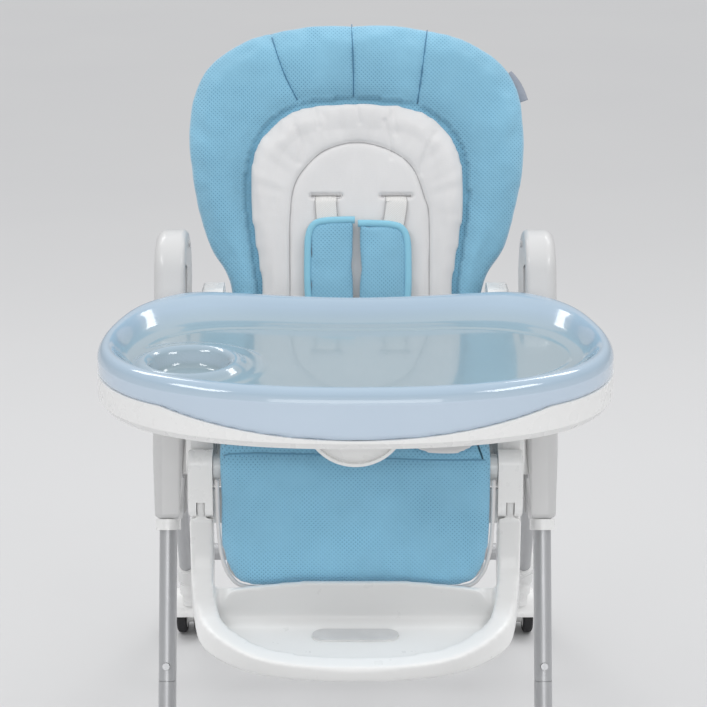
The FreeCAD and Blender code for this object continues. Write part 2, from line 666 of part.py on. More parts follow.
def legrest_arms():
    arm = slab_x([(KNEE_Y - 15, KNEE_Z + 15.5, 14.5), (KNEE_Y + 15, KNEE_Z + 15.5, 14.5),
                  (ANKLE_Y + 15, ANKLE_Z - 14, 13.5), (ANKLE_Y - 15, ANKLE_Z - 14, 13.5)],
                 SIDE_ARM_IN, SIDE_ARM_OUT)
    arm = fillet_on_plane(arm, "X", SIDE_ARM_OUT, 3)
    swing = box(157.6, 166.4, ANKLE_Y - 20, ANKLE_Y + 20, ANKLE_Z - 20, ANKLE_Z - 4)
    cuts = [ankle_round(14.4, 157.6, 166.4), ankle_round(19, 157.6, 166.4).common(swing)]
    cuts += [rod_x(4.0, 100, 200, KNEE_Y, KNEE_Z), ankle_round(4.0, 100, 200)]
    right = arm.cut(cuts)
    return [right, mirrored(right)]


def legrest_pins():
    knee = rod_x(4.0, 138.5, SIDE_ARM_OUT + 0.6, KNEE_Y, KNEE_Z)
    ankle = ankle_round(4.0, SIDE_ARM_IN + 0.2, SIDE_ARM_OUT + 0.6)
    return [knee, ankle, mirrored(knee), mirrored(ankle)]


FOOT_PLAN = [(174.5, -190), (173.5, -226), (169, -250), (156, -283), (134, -311),
             (104, -334), (62, -348), (0, -354)]


def foot_plan(inset, z0, z1):
    """The footrest seen from above: a broad U, open at the back."""
    right = moved_in(FOOT_PLAN[:-1], -inset, False)
    left = [(-x, y) for x, y in reversed(right)]
    points = [Vector(x, y, z0) for x, y in right + [(0, FOOT_PLAN[-1][1] + inset)] + left]
    curve = Part.BSplineCurve()
    curve.interpolate(points)
    edges = [curve.toShape(), Part.makeLine(points[-1], points[0])]
    return Part.Face(Part.Wire(edges)).extrude(Vector(0, 0, z1 - z0))


def footrest_frame():
    """Two arms down from the hinges that run into a platform with a raised back wall."""
    side_view = [(-226, 408, 1), (-229, 362, 60), (-262, 316, 34), (-338, 302, 6),
                 (-362, 298, 6), (-360, 283, 7), (-262, 284, 30), (-203, 330, 60),
                 (-198, 408, 1)]
    body = slab_x(side_view, -SIDE_ARM_OUT, SIDE_ARM_OUT).common(foot_plan(0, 200, 500))
    floor_shape = [(-236, 500, 0), (-236, 343, 3), (-244, 322, 24), (-249, 297, 14),
                   (-334, 295, 6), (-344, 303, 0), (-420, 330, 0), (-420, 500, 0)]
    well = slab_x(floor_shape, -149.6, 149.6).common(foot_plan(22, 200, 500))
    between = slab_y(rectangle(-149.6, 149.6, 343, 520, 1), -420, -150)
    behind = slab_y(rectangle(-149.6, 149.6, 240, 520, 1), -238, -150)
    wall = slab_y([(-150, 292, 0), (150, 292, 0), (132, 336, 16), (60, 344, 60),
                   (-60, 344, 60), (-132, 336, 16)], -246, -238)
    under = slab_x([(-330, 270, 0), (-250, 270, 0), (-256, 289, 3), (-330, 290, 3)], -96, 96)
    cuts = [well, between, behind, under]
    for side in (1, -1):
        cuts.append(ankle_round(16.2, *sorted((side * 140, side * 158))))
        cuts.append(ankle_round(16.2, *sorted((side * 166, side * 180))))
    body = body.cut(cuts).fuse(wall)
    hubs = [ankle_round(13.6, *sorted((side * 158, side * 166))) for side in (1, -1)]
    necks = [box(*sorted((side * 158, side * 166)), ANKLE_Y - 7, ANKLE_Y + 12,
                 ANKLE_Z - 22, ANKLE_Z - 4) for side in (1, -1)]
    insert_seat = slab_z(rectangle(-45.2, 45.2, -284.2, -257.8, 13), 293.6, 320)
    bores = [ankle_round(4.0 + RUN_GAP, -200, 200), insert_seat]
    return body.fuse(hubs + necks).cut(bores)


def footrest_insert():
    return slab_z(rectangle(-45, 45, -284, -258, 12.9), 293.6, 297.4)


# ---------------------------------------------------------------- tray
TRAY_RIGHT = [(72, -72), (124, -61), (176, -53), (206, -69), (234, -104), (251, -150),
              (261, -205), (259, -258), (240, -306), (205, -344), (152, -372), (82, -389)]
TRAY_BACK, TRAY_FRONT = -79.0, -394.0


def tray_loop(inset, z):
    right = [(0, TRAY_BACK)] + TRAY_RIGHT + [(0, TRAY_FRONT)]
    points = right + [(-x, y) for x, y in reversed(TRAY_RIGHT)]
    return loop_wire(moved_in(points, -inset, True), z)


def tray_stack(levels):
    """Solid through tray outlines, each moved in and set at its height."""
    return Part.makeLoft([tray_loop(inset, z) for inset, z in levels], True, True)


def tray_rails():
    rails = []
    for side in (1, -1):
        rail = [box(SEAT_IN - 4, ARM_OUT + 4, -190, -96, ARM_TOP + CLEAR, TRAY_LOW + 2),
                box(ARM_OUT + CLEAR, ARM_OUT + 4, -190, -96, 522, TRAY_LOW),
                box(SEAT_IN - 4, SEAT_IN - CLEAR, -190, -96, 522, TRAY_LOW)]
        rails += rail if side > 0 else [mirrored(r) for r in rail]
    return rails


def tray_base():
    outer = tray_stack([(18, TRAY_LOW), (5, TRAY_LOW + 3), (0, TRAY_LOW + 10), (0, TRAY_LIP)])
    inside = tray_stack([(20, TRAY_LOW + 4), (7, TRAY_LOW + 7), (4, TRAY_LOW + 13),
                         (4, TRAY_LIP + 1)])
    dip = Part.makeCylinder(831, 300, Vector(0, -450, 557.5 + 831), Vector(0, 1, 0))
    guides = []
    for side in (1, -1):
        for x0, x1, z0, z1 in ((21.4, 25, 537, 546), (15, 25, 537, 539.5)):
            guides.append(box(*sorted((side * x0, side * x1)), -300, -210, z0, z1))
    return fuse_all([outer.cut(inside).cut(dip)] + tray_rails() + guides)


def tray_insert():
    outer = tray_stack([(8, 556), (5.5, 572), (5.5, 594), (9, 601.5), (15, 605.2),
                        (20, TRAY_CREST)])
    well = tray_stack([(22, TRAY_CREST + 0.5), (28, 601), (33, 593.5), (40, TRAY_FLOOR)])
    under = tray_stack([(11, 555), (8.5, 572), (8.5, 582), (12, 586)])
    body = outer.cut([well, under])
    ring = rod_z(CUP_R + 19, 584, 596, CUP_X, CUP_Y)
    bowl = rod_z(CUP_R + 3, 574, 592, CUP_X, CUP_Y)
    dish = rod_z(CUP_R, CUP_FLOOR, 598, CUP_X, CUP_Y).fuse(
        Part.makeCone(CUP_R, CUP_R + 5, 8, Vector(CUP_X, CUP_Y, 590), Vector(0, 0, 1)))
    limit = tray_stack([(9, 560), (9, 604)])
    return fuse_all([body, ring.common(limit), bowl]).cut(dish)


def half_round(half, top, low, y0, y1):
    """Plate that hangs below a straight edge, its lower edge one arc."""
    start, end = Vector(-half, y0, top), Vector(half, y0, top)
    arc = Part.Arc(start, Vector(0, y0, low), end).toShape()
    face = Part.Face(Part.Wire([arc, Part.makeLine(end, start)]))
    return face.extrude(Vector(0, y1 - y0, 0))


def tray_lever():
    """Half-round pull below the front, with a flat tongue running back to the latches."""
    paddle = half_round(46, 544.4, 514, -348, -338)
    scoop = half_round(41, 541, 517, -349, -343)
    tongue = box(-20.8, 20.8, -340, -190, 540.2, 544.4)
    return paddle.cut(scoop).fuse(tongue)


# ---------------------------------------------------------------- the whole chair
def build():
    keep_pair("front_leg", front_leg())
    keep("front_base_tube", front_base_tube())
    keep_group("front_feet", [front_foot(), mirrored(front_foot())])
    keep_group("leg_collars", [leg_collar(), mirrored(leg_collar())])
    keep_pair("housing_outer", housing_outer())
    keep_pair("housing_inner", housing_inner())
    keep_group("housing_screws", housing_screws())
    keep_group("fold_pins", fold_pins())
    keep_pair("snap_button", snap_button())
    keep_pair("fold_button", fold_button())

    keep_pair("rear_leg", rear_leg())
    keep_group("rear_knuckles", [rear_knuckle(), mirrored(rear_knuckle())])
    keep("rear_cross_tube", rear_cross_tube())
    keep_pair("caster_socket", caster_socket())
    keep_pair("caster_hood", caster_hood())
    keep_pair("caster_axle", caster_axle())
    for side, flip in (("right", lambda s: s), ("left", mirrored)):
        keep_group("wheel_hubs_" + side, [flip(s) for s in wheel_hubs()])
        keep_group("wheel_tyres_" + side, [flip(s) for s in wheel_tyres()])
    keep_pair("brake_pedal", brake_pedal())

    keep("seat_shell", seat_shell())
    keep_pair("seat_carriage", seat_carriage())
    keep_pair("armrest", armrest())
    keep_pair("height_button", height_button())
    keep_group("recline_pins", [recline_pins(), mirrored(recline_pins())])
    keep("seat_pad", seat_pad())
    keep("crotch_strap", crotch_strap())
    keep_group("waist_straps", waist_straps())
    keep("harness_buckle", harness_buckle())
    keep("buckle_button", buckle_button())

    keep("backrest_shell", backrest_shell())
    keep("backrest_pad", backrest_pad())
    keep("liner_pad", liner_pad())
    keep_group("shoulder_straps", shoulder_straps())
    keep_pair("shoulder_pad", shoulder_pad())
    keep("recline_lever", recline_lever())

    keep("legrest_board", legrest_board())
    keep("legrest_pad", legrest_pad())
    keep_group("legrest_arms", legrest_arms())
    keep_group("legrest_pins", legrest_pins())
    keep("footrest_frame", footrest_frame())
    keep("footrest_insert", footrest_insert())

    keep("tray_base", tray_base())
    keep("tray_insert", tray_insert())
    keep("tray_lever", tray_lever())


build()
os.makedirs("parts", exist_ok=True)
for part_name, part_shape in PARTS.items():
    part_shape.exportStep(os.path.join("parts", part_name + ".step"))
print(len(PARTS), "nodes")
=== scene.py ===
import bmesh
import bpy
import json
import math
import numpy as np
from mathutils import Matrix, Vector, noise


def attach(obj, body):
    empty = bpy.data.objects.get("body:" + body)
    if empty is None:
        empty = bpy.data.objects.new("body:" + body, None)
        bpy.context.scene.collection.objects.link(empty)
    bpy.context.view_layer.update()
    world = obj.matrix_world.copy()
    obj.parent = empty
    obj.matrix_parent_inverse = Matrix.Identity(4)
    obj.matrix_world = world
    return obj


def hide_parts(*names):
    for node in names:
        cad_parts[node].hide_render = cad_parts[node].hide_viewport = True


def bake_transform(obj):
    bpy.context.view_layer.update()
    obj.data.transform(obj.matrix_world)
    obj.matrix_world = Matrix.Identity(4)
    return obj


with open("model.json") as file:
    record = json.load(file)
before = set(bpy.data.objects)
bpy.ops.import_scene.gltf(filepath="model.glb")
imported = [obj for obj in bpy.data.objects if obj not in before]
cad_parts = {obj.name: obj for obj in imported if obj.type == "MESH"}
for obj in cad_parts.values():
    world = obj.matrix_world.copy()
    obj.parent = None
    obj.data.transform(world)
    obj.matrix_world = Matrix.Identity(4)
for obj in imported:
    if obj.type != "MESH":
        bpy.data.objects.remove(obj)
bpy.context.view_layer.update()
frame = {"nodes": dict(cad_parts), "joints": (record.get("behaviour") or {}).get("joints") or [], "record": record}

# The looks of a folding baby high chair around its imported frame. Metres, +Z up, the child
# faces -Y. Outlines below are in millimetres, in the plane of the piece they belong to.

MM = 0.001
NODES = frame["nodes"]
JOINTS = {joint["name"]: joint for joint in frame["joints"]}
BACK_RAKE = math.radians(18.66)
BACK_ORIGIN = Vector(JOINTS["recline_hinge"]["pos_m"])
KNEE = Vector(JOINTS["legrest_hinge"]["pos_m"])
SIM_FRAMES = 20


# ---------------------------------------------------------------- planes the pieces lie in
def plane(origin, up):
    """Matrix from (across, up, out of the plane) to the row frame; across is always +X."""
    across = Vector((1, 0, 0))
    out = across.cross(up)
    turn = Matrix((across, up, out)).transposed()
    return Matrix.Translation(origin) @ turn.to_4x4()


BACK = plane(BACK_ORIGIN, Vector((0, math.sin(BACK_RAKE), math.cos(BACK_RAKE))))
LEVEL = plane(Vector((0, 0, 0)), Vector((0, 1, 0)))


# ---------------------------------------------------------------- outlines
def smooth_curve(points, closed, steps=8):
    """Points along a Catmull-Rom curve through the given points."""
    count = len(points)
    spans = count if closed else count - 1
    result = []
    for i in range(spans):
        p = [points[k % count] if closed else points[min(max(k, 0), count - 1)]
             for k in (i - 1, i, i + 1, i + 2)]
        for step in range(steps):
            t = step / steps
            result.append(tuple(
                0.5 * (2 * b + (c - a) * t + (2 * a - 5 * b + 4 * c - d) * t * t
                       + (3 * b - a - 3 * c + d) * t ** 3)
                for a, b, c, d in zip(*p)))
    if not closed:
        result.append(tuple(points[-1]))
    return np.array(result)


def both_sides(right, middle):
    """Closed outline from its right half, going up, with the point it has in the middle."""
    return right + [middle] + [(-x, v) for x, v in reversed(right)]


def moved_in(outline, inset):
    """A closed outline, in either direction, with each point moved towards its inside."""
    after = np.roll(outline, -1, axis=0)
    run = after - np.roll(outline, 1, axis=0)
    run /= np.linalg.norm(run, axis=1)[:, None]
    area = (outline[:, 0] * after[:, 1] - after[:, 0] * outline[:, 1]).sum()
    return outline + np.stack([-run[:, 1], run[:, 0]], axis=1) * inset * math.copysign(1, area)


def distance_to_line(points, line):
    """Shortest distance in the plane from each point to a chain of points."""
    best = np.full(len(points), 1e9)
    for a, b in zip(line[:-1], line[1:]):
        run = b - a
        share = np.clip(((points - a) @ run) / max(run @ run, 1e-12), 0, 1)
        best = np.minimum(best, np.linalg.norm(points - a - share[:, None] * run, axis=1))
    return best


def inside(points, outline):
    """True for the points within a closed outline."""
    result = np.zeros(len(points), bool)
    for a, b in zip(outline, np.roll(outline, -1, axis=0)):
        crosses = (a[1] > points[:, 1]) != (b[1] > points[:, 1])
        rise = b[1] - a[1] if abs(b[1] - a[1]) > 1e-12 else 1e-12
        at = a[0] + (points[:, 1] - a[1]) * (b[0] - a[0]) / rise
        result ^= crosses & (points[:, 0] < at)
    return result


def closed_line(outline):
    return np.vstack([outline, outline[:1]])


def ease(value, low, high):
    """0 below low, 1 above high, smooth between."""
    t = np.clip((value - low) / (high - low), 0, 1)
    return t * t * (3 - 2 * t)


# ---------------------------------------------------------------- meshes
def piece_from(name, points, faces):
    mesh = bpy.data.meshes.new(name)
    mesh.from_pydata([tuple(p) for p in points], [], faces)
    mesh.update()
    mesh.shade_smooth()
    piece = bpy.data.objects.new(name, mesh)
    bpy.context.scene.collection.objects.link(piece)
    return piece


def face_out(piece):
    """Every face of a closed mesh turned to the outside."""
    work = bmesh.new()
    work.from_mesh(piece.data)
    bmesh.ops.recalc_face_normals(work, faces=work.faces)
    work.to_mesh(piece.data)
    work.free()
    return piece


def points_of(piece):
    flat = np.empty(len(piece.data.vertices) * 3, np.float64)
    piece.data.vertices.foreach_get("co", flat)
    return flat.reshape(-1, 3)


def set_points(piece, points):
    piece.data.vertices.foreach_set("co", points.astype(np.float32).ravel())
    piece.data.update()


def settle(piece):
    """The modifiers' result becomes the mesh."""
    graph = bpy.context.evaluated_depsgraph_get()
    result = bpy.data.meshes.new_from_object(piece.evaluated_get(graph))
    old = piece.data
    piece.modifiers.clear()
    piece.data = result
    bpy.data.meshes.remove(old)
    piece.data.shade_smooth()


def modify(piece, kind, **settings):
    modifier = piece.modifiers.new(kind.title(), kind)
    for key, value in settings.items():
        setattr(modifier, key, value)
    settle(piece)


def prism(name, outline, low, high):
    """Closed mesh of an outline given thickness from low to high out of its plane."""
    count = len(outline)
    points = [(x, v, w) for w in (low, high) for x, v in outline]
    sides = [(i, (i + 1) % count, count + (i + 1) % count, count + i) for i in range(count)]
    caps = [tuple(range(count - 1, -1, -1)), tuple(range(count, 2 * count))]
    return piece_from(name, points, sides + caps)


def stuffed(name, outline, low, high, voxel=5 * MM, pressure=4.0, cap=8 * MM):
    """A cushion in its own plane: a remeshed slab that cloth pressure fills out."""
    piece = prism(name, outline, low, high)
    modify(piece, "REMESH", mode="VOXEL", voxel_size=voxel)
    modify(piece, "SMOOTH", factor=0.6, iterations=6)
    start = points_of(piece)
    cloth = piece.modifiers.new("Cloth", "CLOTH")
    cloth.settings.quality = 4
    cloth.settings.mass = 0.25
    cloth.settings.tension_stiffness = 12
    cloth.settings.compression_stiffness = 12
    cloth.settings.shear_stiffness = 5
    cloth.settings.bending_stiffness = 0.4
    cloth.settings.use_pressure = True
    cloth.settings.uniform_pressure_force = pressure
    cloth.settings.effector_weights.gravity = 0
    for step in range(1, SIM_FRAMES + 1):
        bpy.context.scene.frame_set(step)
    settle(piece)
    bpy.context.scene.frame_set(1)
    moved = points_of(piece) - start
    size = np.linalg.norm(moved, axis=1)
    moved *= np.minimum(1, cap / np.maximum(size, 1e-9))[:, None]
    set_points(piece, start + moved)
    modify(piece, "SMOOTH", factor=0.5, iterations=3)
    modify(piece, "SUBSURF", levels=1)
    return piece


def normals_of(piece):
    flat = np.empty(len(piece.data.vertices) * 3, np.float64)
    piece.data.vertices.foreach_get("normal", flat)
    return flat.reshape(-1, 3)


def ripple(piece, size, depth, seed=0.0, stretch=(1, 1, 1)):
    """Soft unevenness of stuffed cloth: moves points along their normals."""
    points = points_of(piece)
    scaled = points / size * np.array(stretch) + seed
    height = np.array([noise.noise(Vector(p)) for p in scaled])
    set_points(piece, points + normals_of(piece) * (height * depth)[:, None])


def tube_on(name, path, half_width, half_height, across, around=10):
    """Closed tube of oval section along a closed or open path in the row frame."""
    closed = np.linalg.norm(path[0] - path[-1]) < 1e-6
    if closed:
        path = path[:-1]
    count = len(path)
    points, faces = [], []
    for i, here in enumerate(path):
        before = path[i - 1] if closed or i else here
        after = path[(i + 1) % count] if closed or i < count - 1 else here
        run = Vector(after - before).normalized()
        side = across(i) if callable(across) else Vector(across)
        normal = run.cross(side).normalized()
        side = normal.cross(run).normalized()
        for k in range(around):
            a = 2 * math.pi * k / around
            points.append(Vector(here) + side * (half_width * math.cos(a))
                          + normal * (half_height * math.sin(a)))
    for i in range(count if closed else count - 1):
        for k in range(around):
            a, b = i * around, (i + 1) % count * around
            faces.append((a + k, b + k, b + (k + 1) % around, a + (k + 1) % around))
    if not closed:
        faces.append(tuple(range(around)))
        last = (count - 1) * around
        faces.append(tuple(last + k for k in range(around - 1, -1, -1)))
    return face_out(piece_from(name, points, faces))


def bend_along(piece, path):
    """(across, along, out) of a flat piece to the row frame, round a path in Y and Z."""
    steps = np.linalg.norm(np.diff(path, axis=0), axis=1)
    along = np.concatenate([[0], np.cumsum(steps)])
    tangent = np.gradient(path, along, axis=0)
    tangent /= np.linalg.norm(tangent, axis=1)[:, None]
    points = points_of(piece)
    s = np.clip(points[:, 1], 0, along[-1])
    beyond = points[:, 1] - s
    y, z = (np.interp(s, along, path[:, k]) for k in (0, 1))
    ty, tz = (np.interp(s, along, tangent[:, k]) for k in (0, 1))
    out = points[:, 2]
    set_points(piece, np.stack([points[:, 0], y + ty * beyond + tz * out,
                                z + tz * beyond - ty * out], axis=1))
    face_out(piece)


def place(piece, matrix):
    piece.data.transform(matrix)
    piece.data.update()
    return piece


def dress(piece, material, body=None, replaced=()):
    piece.data.materials.clear()
    piece.data.materials.append(material)
    if body:
        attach(piece, body)
    if replaced:
        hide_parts(*replaced)
    return piece


# ---------------------------------------------------------------- material helpers
def add(tree, kind, inputs=None, **settings):
    """Adds a node; inputs maps a socket to a value or to the output that feeds it."""
    made = tree.nodes.new(kind)
    for key, value in settings.items():
        setattr(made, key, value)
    for key, value in (inputs or {}).items():
        if isinstance(value, bpy.types.NodeSocket):
            tree.links.new(value, made.inputs[key])
        else:
            made.inputs[key].default_value = value
    return made


def linear(colour):
    """Screen colour 0 to 255 to the linear colour that shaders use."""
    parts = [c / 255 for c in colour]
    return tuple(c / 12.92 if c <= 0.04045 else ((c + 0.055) / 1.055) ** 2.4
                 for c in parts) + (1.0,)


def start_material(name, roughness, **settings):
    material = bpy.data.materials.new(name)
    material.use_nodes = True
    tree = material.node_tree
    shader = tree.nodes["Principled BSDF"]
    shader.inputs["Roughness"].default_value = roughness
    for key, value in settings.items():
        shader.inputs[key.replace("_", " ")].default_value = value
    return material, tree, shader


def place_of(tree):
    return add(tree, "ShaderNodeTexCoord").outputs["Object"]


def noise_of(tree, vector, scale, detail=3.0):
    return add(tree, "ShaderNodeTexNoise", {"Vector": vector, "Scale": scale,
                                            "Detail": detail}).outputs["Fac"]


def mixed(tree, factor, first, second):
    made = add(tree, "ShaderNodeMix", {0: factor, 6: first, 7: second}, data_type="RGBA")
    return made.outputs[2]


def ranged(tree, value, low, high, to_low, to_high):
    made = add(tree, "ShaderNodeMapRange", {"Value": value, "From Min": low, "From Max": high,
                                            "To Min": to_low, "To Max": to_high})
    return made.outputs["Result"]


def maths(tree, operation, first, second=0.0):
    return add(tree, "ShaderNodeMath", {0: first, 1: second}, operation=operation).outputs[0]


def bumped(tree, shader, height, distance, strength=1.0, below=None):
    inputs = {"Height": height, "Distance": distance, "Strength": strength}
    if below is not None:
        inputs["Normal"] = below
    made = add(tree, "ShaderNodeBump", inputs)
    tree.links.new(made.outputs["Normal"], shader.inputs["Normal"])
    return made.outputs["Normal"]


# ---------------------------------------------------------------- materials
def plastic(name, colour, roughness=0.28, gloss=0.25, grain=0.000006, shade=0.02, painted_front_shade=0.0):
    """Moulded plastic: faint flow marks, uneven gloss, fine grain, and painted shade that greys the faces turned
    towards -Y.
    """
    material, tree, shader = start_material(name, roughness, Coat_Weight=gloss,
                                            Coat_Roughness=0.06)
    where = place_of(tree)
    base = linear(colour)
    dark = tuple(c * (1 - shade) for c in base[:3]) + (1.0,)
    cloudy = noise_of(tree, where, 9.0, 4.0)
    tone = mixed(tree, ranged(tree, cloudy, 0.35, 0.65, 0.0, 1.0), dark, base)
    # painted shade: faces turned towards -Y get a greyer colour, standing in for the shade of faces that the light
    # from above misses
    if painted_front_shade:
        grey = tuple(c * (1 - painted_front_shade) for c in base[:3]) + (1.0,)
        normal = add(tree, "ShaderNodeTexCoord").outputs["Normal"]
        forward = add(tree, "ShaderNodeVectorMath", {0: normal, 1: (0, -1, 0)},
                      operation="DOT_PRODUCT").outputs["Value"]
        tone = mixed(tree, ranged(tree, forward, 0.35, 0.9, 0.0, 1.0), tone, grey)
    tree.links.new(tone, shader.inputs["Base Color"])
    scuffs = noise_of(tree, where, 60.0, 6.0)
    tree.links.new(ranged(tree, scuffs, 0.3, 0.7, roughness - 0.05, roughness + 0.07),
                   shader.inputs["Roughness"])
    soft = bumped(tree, shader, cloudy, 0.0002, 0.2)
    bumped(tree, shader, noise_of(tree, where, PLASTIC_GRAIN_SCALE, 2.0), grain, 1.0, soft)
    return material


def tray_plastic(name):
    """Milky blue plastic: blue-white at the rim, greener and darker on the floor."""
    material, tree, shader = start_material(name, 0.12, Coat_Weight=0.6, Coat_Roughness=0.03,
                                            IOR=1.5, Subsurface_Weight=0.0)
    where = place_of(tree)
    height = add(tree, "ShaderNodeSeparateXYZ", {"Vector": where}).outputs["Z"]
    facing = add(tree, "ShaderNodeSeparateXYZ", {
        "Vector": add(tree, "ShaderNodeTexCoord").outputs["Normal"]}).outputs["Z"]
    cloudy = noise_of(tree, where, 7.0)
    rim = mixed(tree, cloudy, linear((150, 171, 189)), linear((158, 178, 195)))
    side = mixed(tree, cloudy, linear((186, 202, 218)), linear((193, 208, 223)))
    floor = mixed(tree, cloudy, linear((134, 153, 162)), linear((141, 160, 169)))
    above = mixed(tree, ranged(tree, height, 0.588, 0.603, 0.0, 1.0), floor, rim)
    tree.links.new(mixed(tree, ranged(tree, facing, 0.1, 0.6, 1.0, 0.0), above, side),
                   shader.inputs["Base Color"])
    tree.links.new(ranged(tree, noise_of(tree, where, 45.0, 5.0), 0.3, 0.7, 0.09, 0.16),
                   shader.inputs["Roughness"])
    bumped(tree, shader, noise_of(tree, where, 22.0, 2.0), 0.0003, 0.2)
    return material


TURNED_AWAY = 0.75
HOLE_EDGE = 0.1
KNIT_SCALE, PLASTIC_GRAIN_SCALE, BRUSHED_SCALE = 900.0, 1500.0, 900.0


def cloth_coordinates(tree, matrix):
    """Where a point lies on the cloth: the plane's own directions, or the side's."""
    coordinates = add(tree, "ShaderNodeTexCoord")
    up = matrix.col[1].to_3d()
    out = matrix.col[2].to_3d()
    found = {}
    for name in ("Object", "Normal"):
        socket = coordinates.outputs[name]
        for axis, direction in (("across", (1, 0, 0)), ("up", up), ("out", out)):
            dot = add(tree, "ShaderNodeVectorMath", {0: socket, 1: tuple(direction)},
                      operation="DOT_PRODUCT")
            found[name, axis] = dot.outputs["Value"]
    facing_side = maths(tree, "GREATER_THAN",
                        maths(tree, "ABSOLUTE", found["Normal", "across"]), TURNED_AWAY)
    facing_up = maths(tree, "GREATER_THAN",
                      maths(tree, "ABSOLUTE", found["Normal", "up"]), TURNED_AWAY)
    first = add(tree, "ShaderNodeMix", {0: facing_side, 2: found["Object", "across"],
                                        3: found["Object", "out"]}).outputs[0]
    second = add(tree, "ShaderNodeMix", {0: facing_up, 2: found["Object", "up"],
                                         3: found["Object", "out"]}).outputs[0]
    return add(tree, "ShaderNodeCombineXYZ", {0: first, 1: second}).outputs[0], \
        coordinates.outputs["Object"]


def perforated_fabric(name, matrix, base, hole, pitch=4.6 * MM, hole_size=0.13):
    """Soft mesh cloth with small staggered holes, fine knit between them and a light nap."""
    material, tree, shader = start_material(name, 0.82, Sheen_Weight=0.35,
                                            Sheen_Roughness=0.5, Specular_IOR_Level=0.25)
    flat, where = cloth_coordinates(tree, matrix)
    turned = add(tree, "ShaderNodeMapping", {"Vector": flat, "Rotation": (0, 0, math.pi / 4)})
    cells = add(tree, "ShaderNodeTexVoronoi", {"Vector": turned.outputs[0],
                                               "Scale": math.sqrt(2) / pitch,
                                               "Randomness": 0.0}, voronoi_dimensions="2D")
    distance = cells.outputs["Distance"]
    worn = noise_of(tree, where, 28.0, 3.0)
    depth = ranged(tree, worn, 0.35, 0.65, 0.3, 0.85)
    holes = maths(tree, "MULTIPLY",
                  ranged(tree, distance, hole_size, hole_size + HOLE_EDGE, 1.0, 0.0), depth)
    knit = add(tree, "ShaderNodeTexVoronoi", {"Vector": flat, "Scale": KNIT_SCALE,
                                              "Randomness": 0.25}, voronoi_dimensions="2D")
    light = tuple(min(1, c * 1.10) for c in linear(base)[:3]) + (1.0,)
    dark = tuple(c * 0.90 for c in linear(base)[:3]) + (1.0,)
    patchy = mixed(tree, ranged(tree, noise_of(tree, where, 11.0, 5.0), 0.3, 0.7, 0.0, 1.0),
                   dark, light)
    knitted = mixed(tree, ranged(tree, knit.outputs["Distance"], 0.1, 0.6, 0.0, 0.22),
                    patchy, dark)
    tree.links.new(mixed(tree, holes, knitted, linear(hole)), shader.inputs["Base Color"])
    tree.links.new(ranged(tree, worn, 0.3, 0.7, 0.76, 0.9), shader.inputs["Roughness"])
    dented = bumped(tree, shader, ranged(tree, distance, 0.05, 0.5, 0.0, 1.0), 0.0005, 0.5)
    bumped(tree, shader, knit.outputs["Distance"], 0.00015, 0.6, dented)
    return material


def plain_cloth(name, colour, thread=0.7 * MM, sheen=0.3, shade=0.06, rough=0.85):
    """Woven or knitted cloth of one colour, with its threads and soft tone changes."""
    material, tree, shader = start_material(name, rough, Sheen_Weight=sheen,
                                            Sheen_Roughness=0.5, Specular_IOR_Level=0.25)
    where = place_of(tree)
    base = linear(colour)
    dark = tuple(c * (1 - shade) for c in base[:3]) + (1.0,)
    weave = add(tree, "ShaderNodeTexVoronoi", {"Vector": where, "Scale": 1 / thread,
                                               "Randomness": 0.35})
    tone = mixed(tree, ranged(tree, noise_of(tree, where, 14.0, 5.0), 0.3, 0.7, 0.0, 1.0),
                 dark, base)
    threads = ranged(tree, weave.outputs["Distance"], 0.1, 0.7, 0.0, 0.5)
    tree.links.new(mixed(tree, threads, tone, dark), shader.inputs["Base Color"])
    tree.links.new(ranged(tree, weave.outputs["Distance"], 0, 0.8, rough - 0.08, rough + 0.08),
                   shader.inputs["Roughness"])
    bumped(tree, shader, weave.outputs["Distance"], 0.00025, 0.5)
    return material


def webbing(name, colour):
    """Flat polyester strap: close cross ribs with a diagonal twill."""
    material, tree, shader = start_material(name, 0.6, Sheen_Weight=0.15,
                                            Specular_IOR_Level=0.35)
    where = place_of(tree)
    base = linear(colour)
    dark = tuple(c * 0.82 for c in base[:3]) + (1.0,)
    slanted = add(tree, "ShaderNodeMapping", {"Vector": where,
                                              "Rotation": (0.6, 0.5, 0.78)}).outputs[0]
    ribs = add(tree, "ShaderNodeTexWave", {"Vector": slanted, "Scale": 260.0,
                                           "Distortion": 0.4}).outputs["Fac"]
    tree.links.new(mixed(tree, ranged(tree, ribs, 0.0, 1.0, 0.6, 0.0), base, dark),
                   shader.inputs["Base Color"])
    tree.links.new(ranged(tree, ribs, 0, 1, 0.68, 0.5), shader.inputs["Roughness"])
    bumped(tree, shader, ribs, 0.0003, 0.6)
    return material


def metal(name, colour, roughness, metallic=1.0):
    """Satin metal with fine lines drawn along Z and faint smudges."""
    material, tree, shader = start_material(name, roughness, Metallic=metallic)
    where = place_of(tree)
    drawn = add(tree, "ShaderNodeMapping", {"Vector": where, "Scale": (1, 0.05, 0.02)}).outputs[0]
    lines = noise_of(tree, drawn, BRUSHED_SCALE, 2.0)
    base = linear(colour)
    dark = tuple(c * 0.88 for c in base[:3]) + (1.0,)
    tree.links.new(mixed(tree, noise_of(tree, where, 18.0, 4.0), dark, base),
                   shader.inputs["Base Color"])
    tree.links.new(ranged(tree, lines, 0.3, 0.7, roughness - 0.04, roughness + 0.05),
                   shader.inputs["Roughness"])
    bumped(tree, shader, lines, 0.00001, 0.3)
    return material


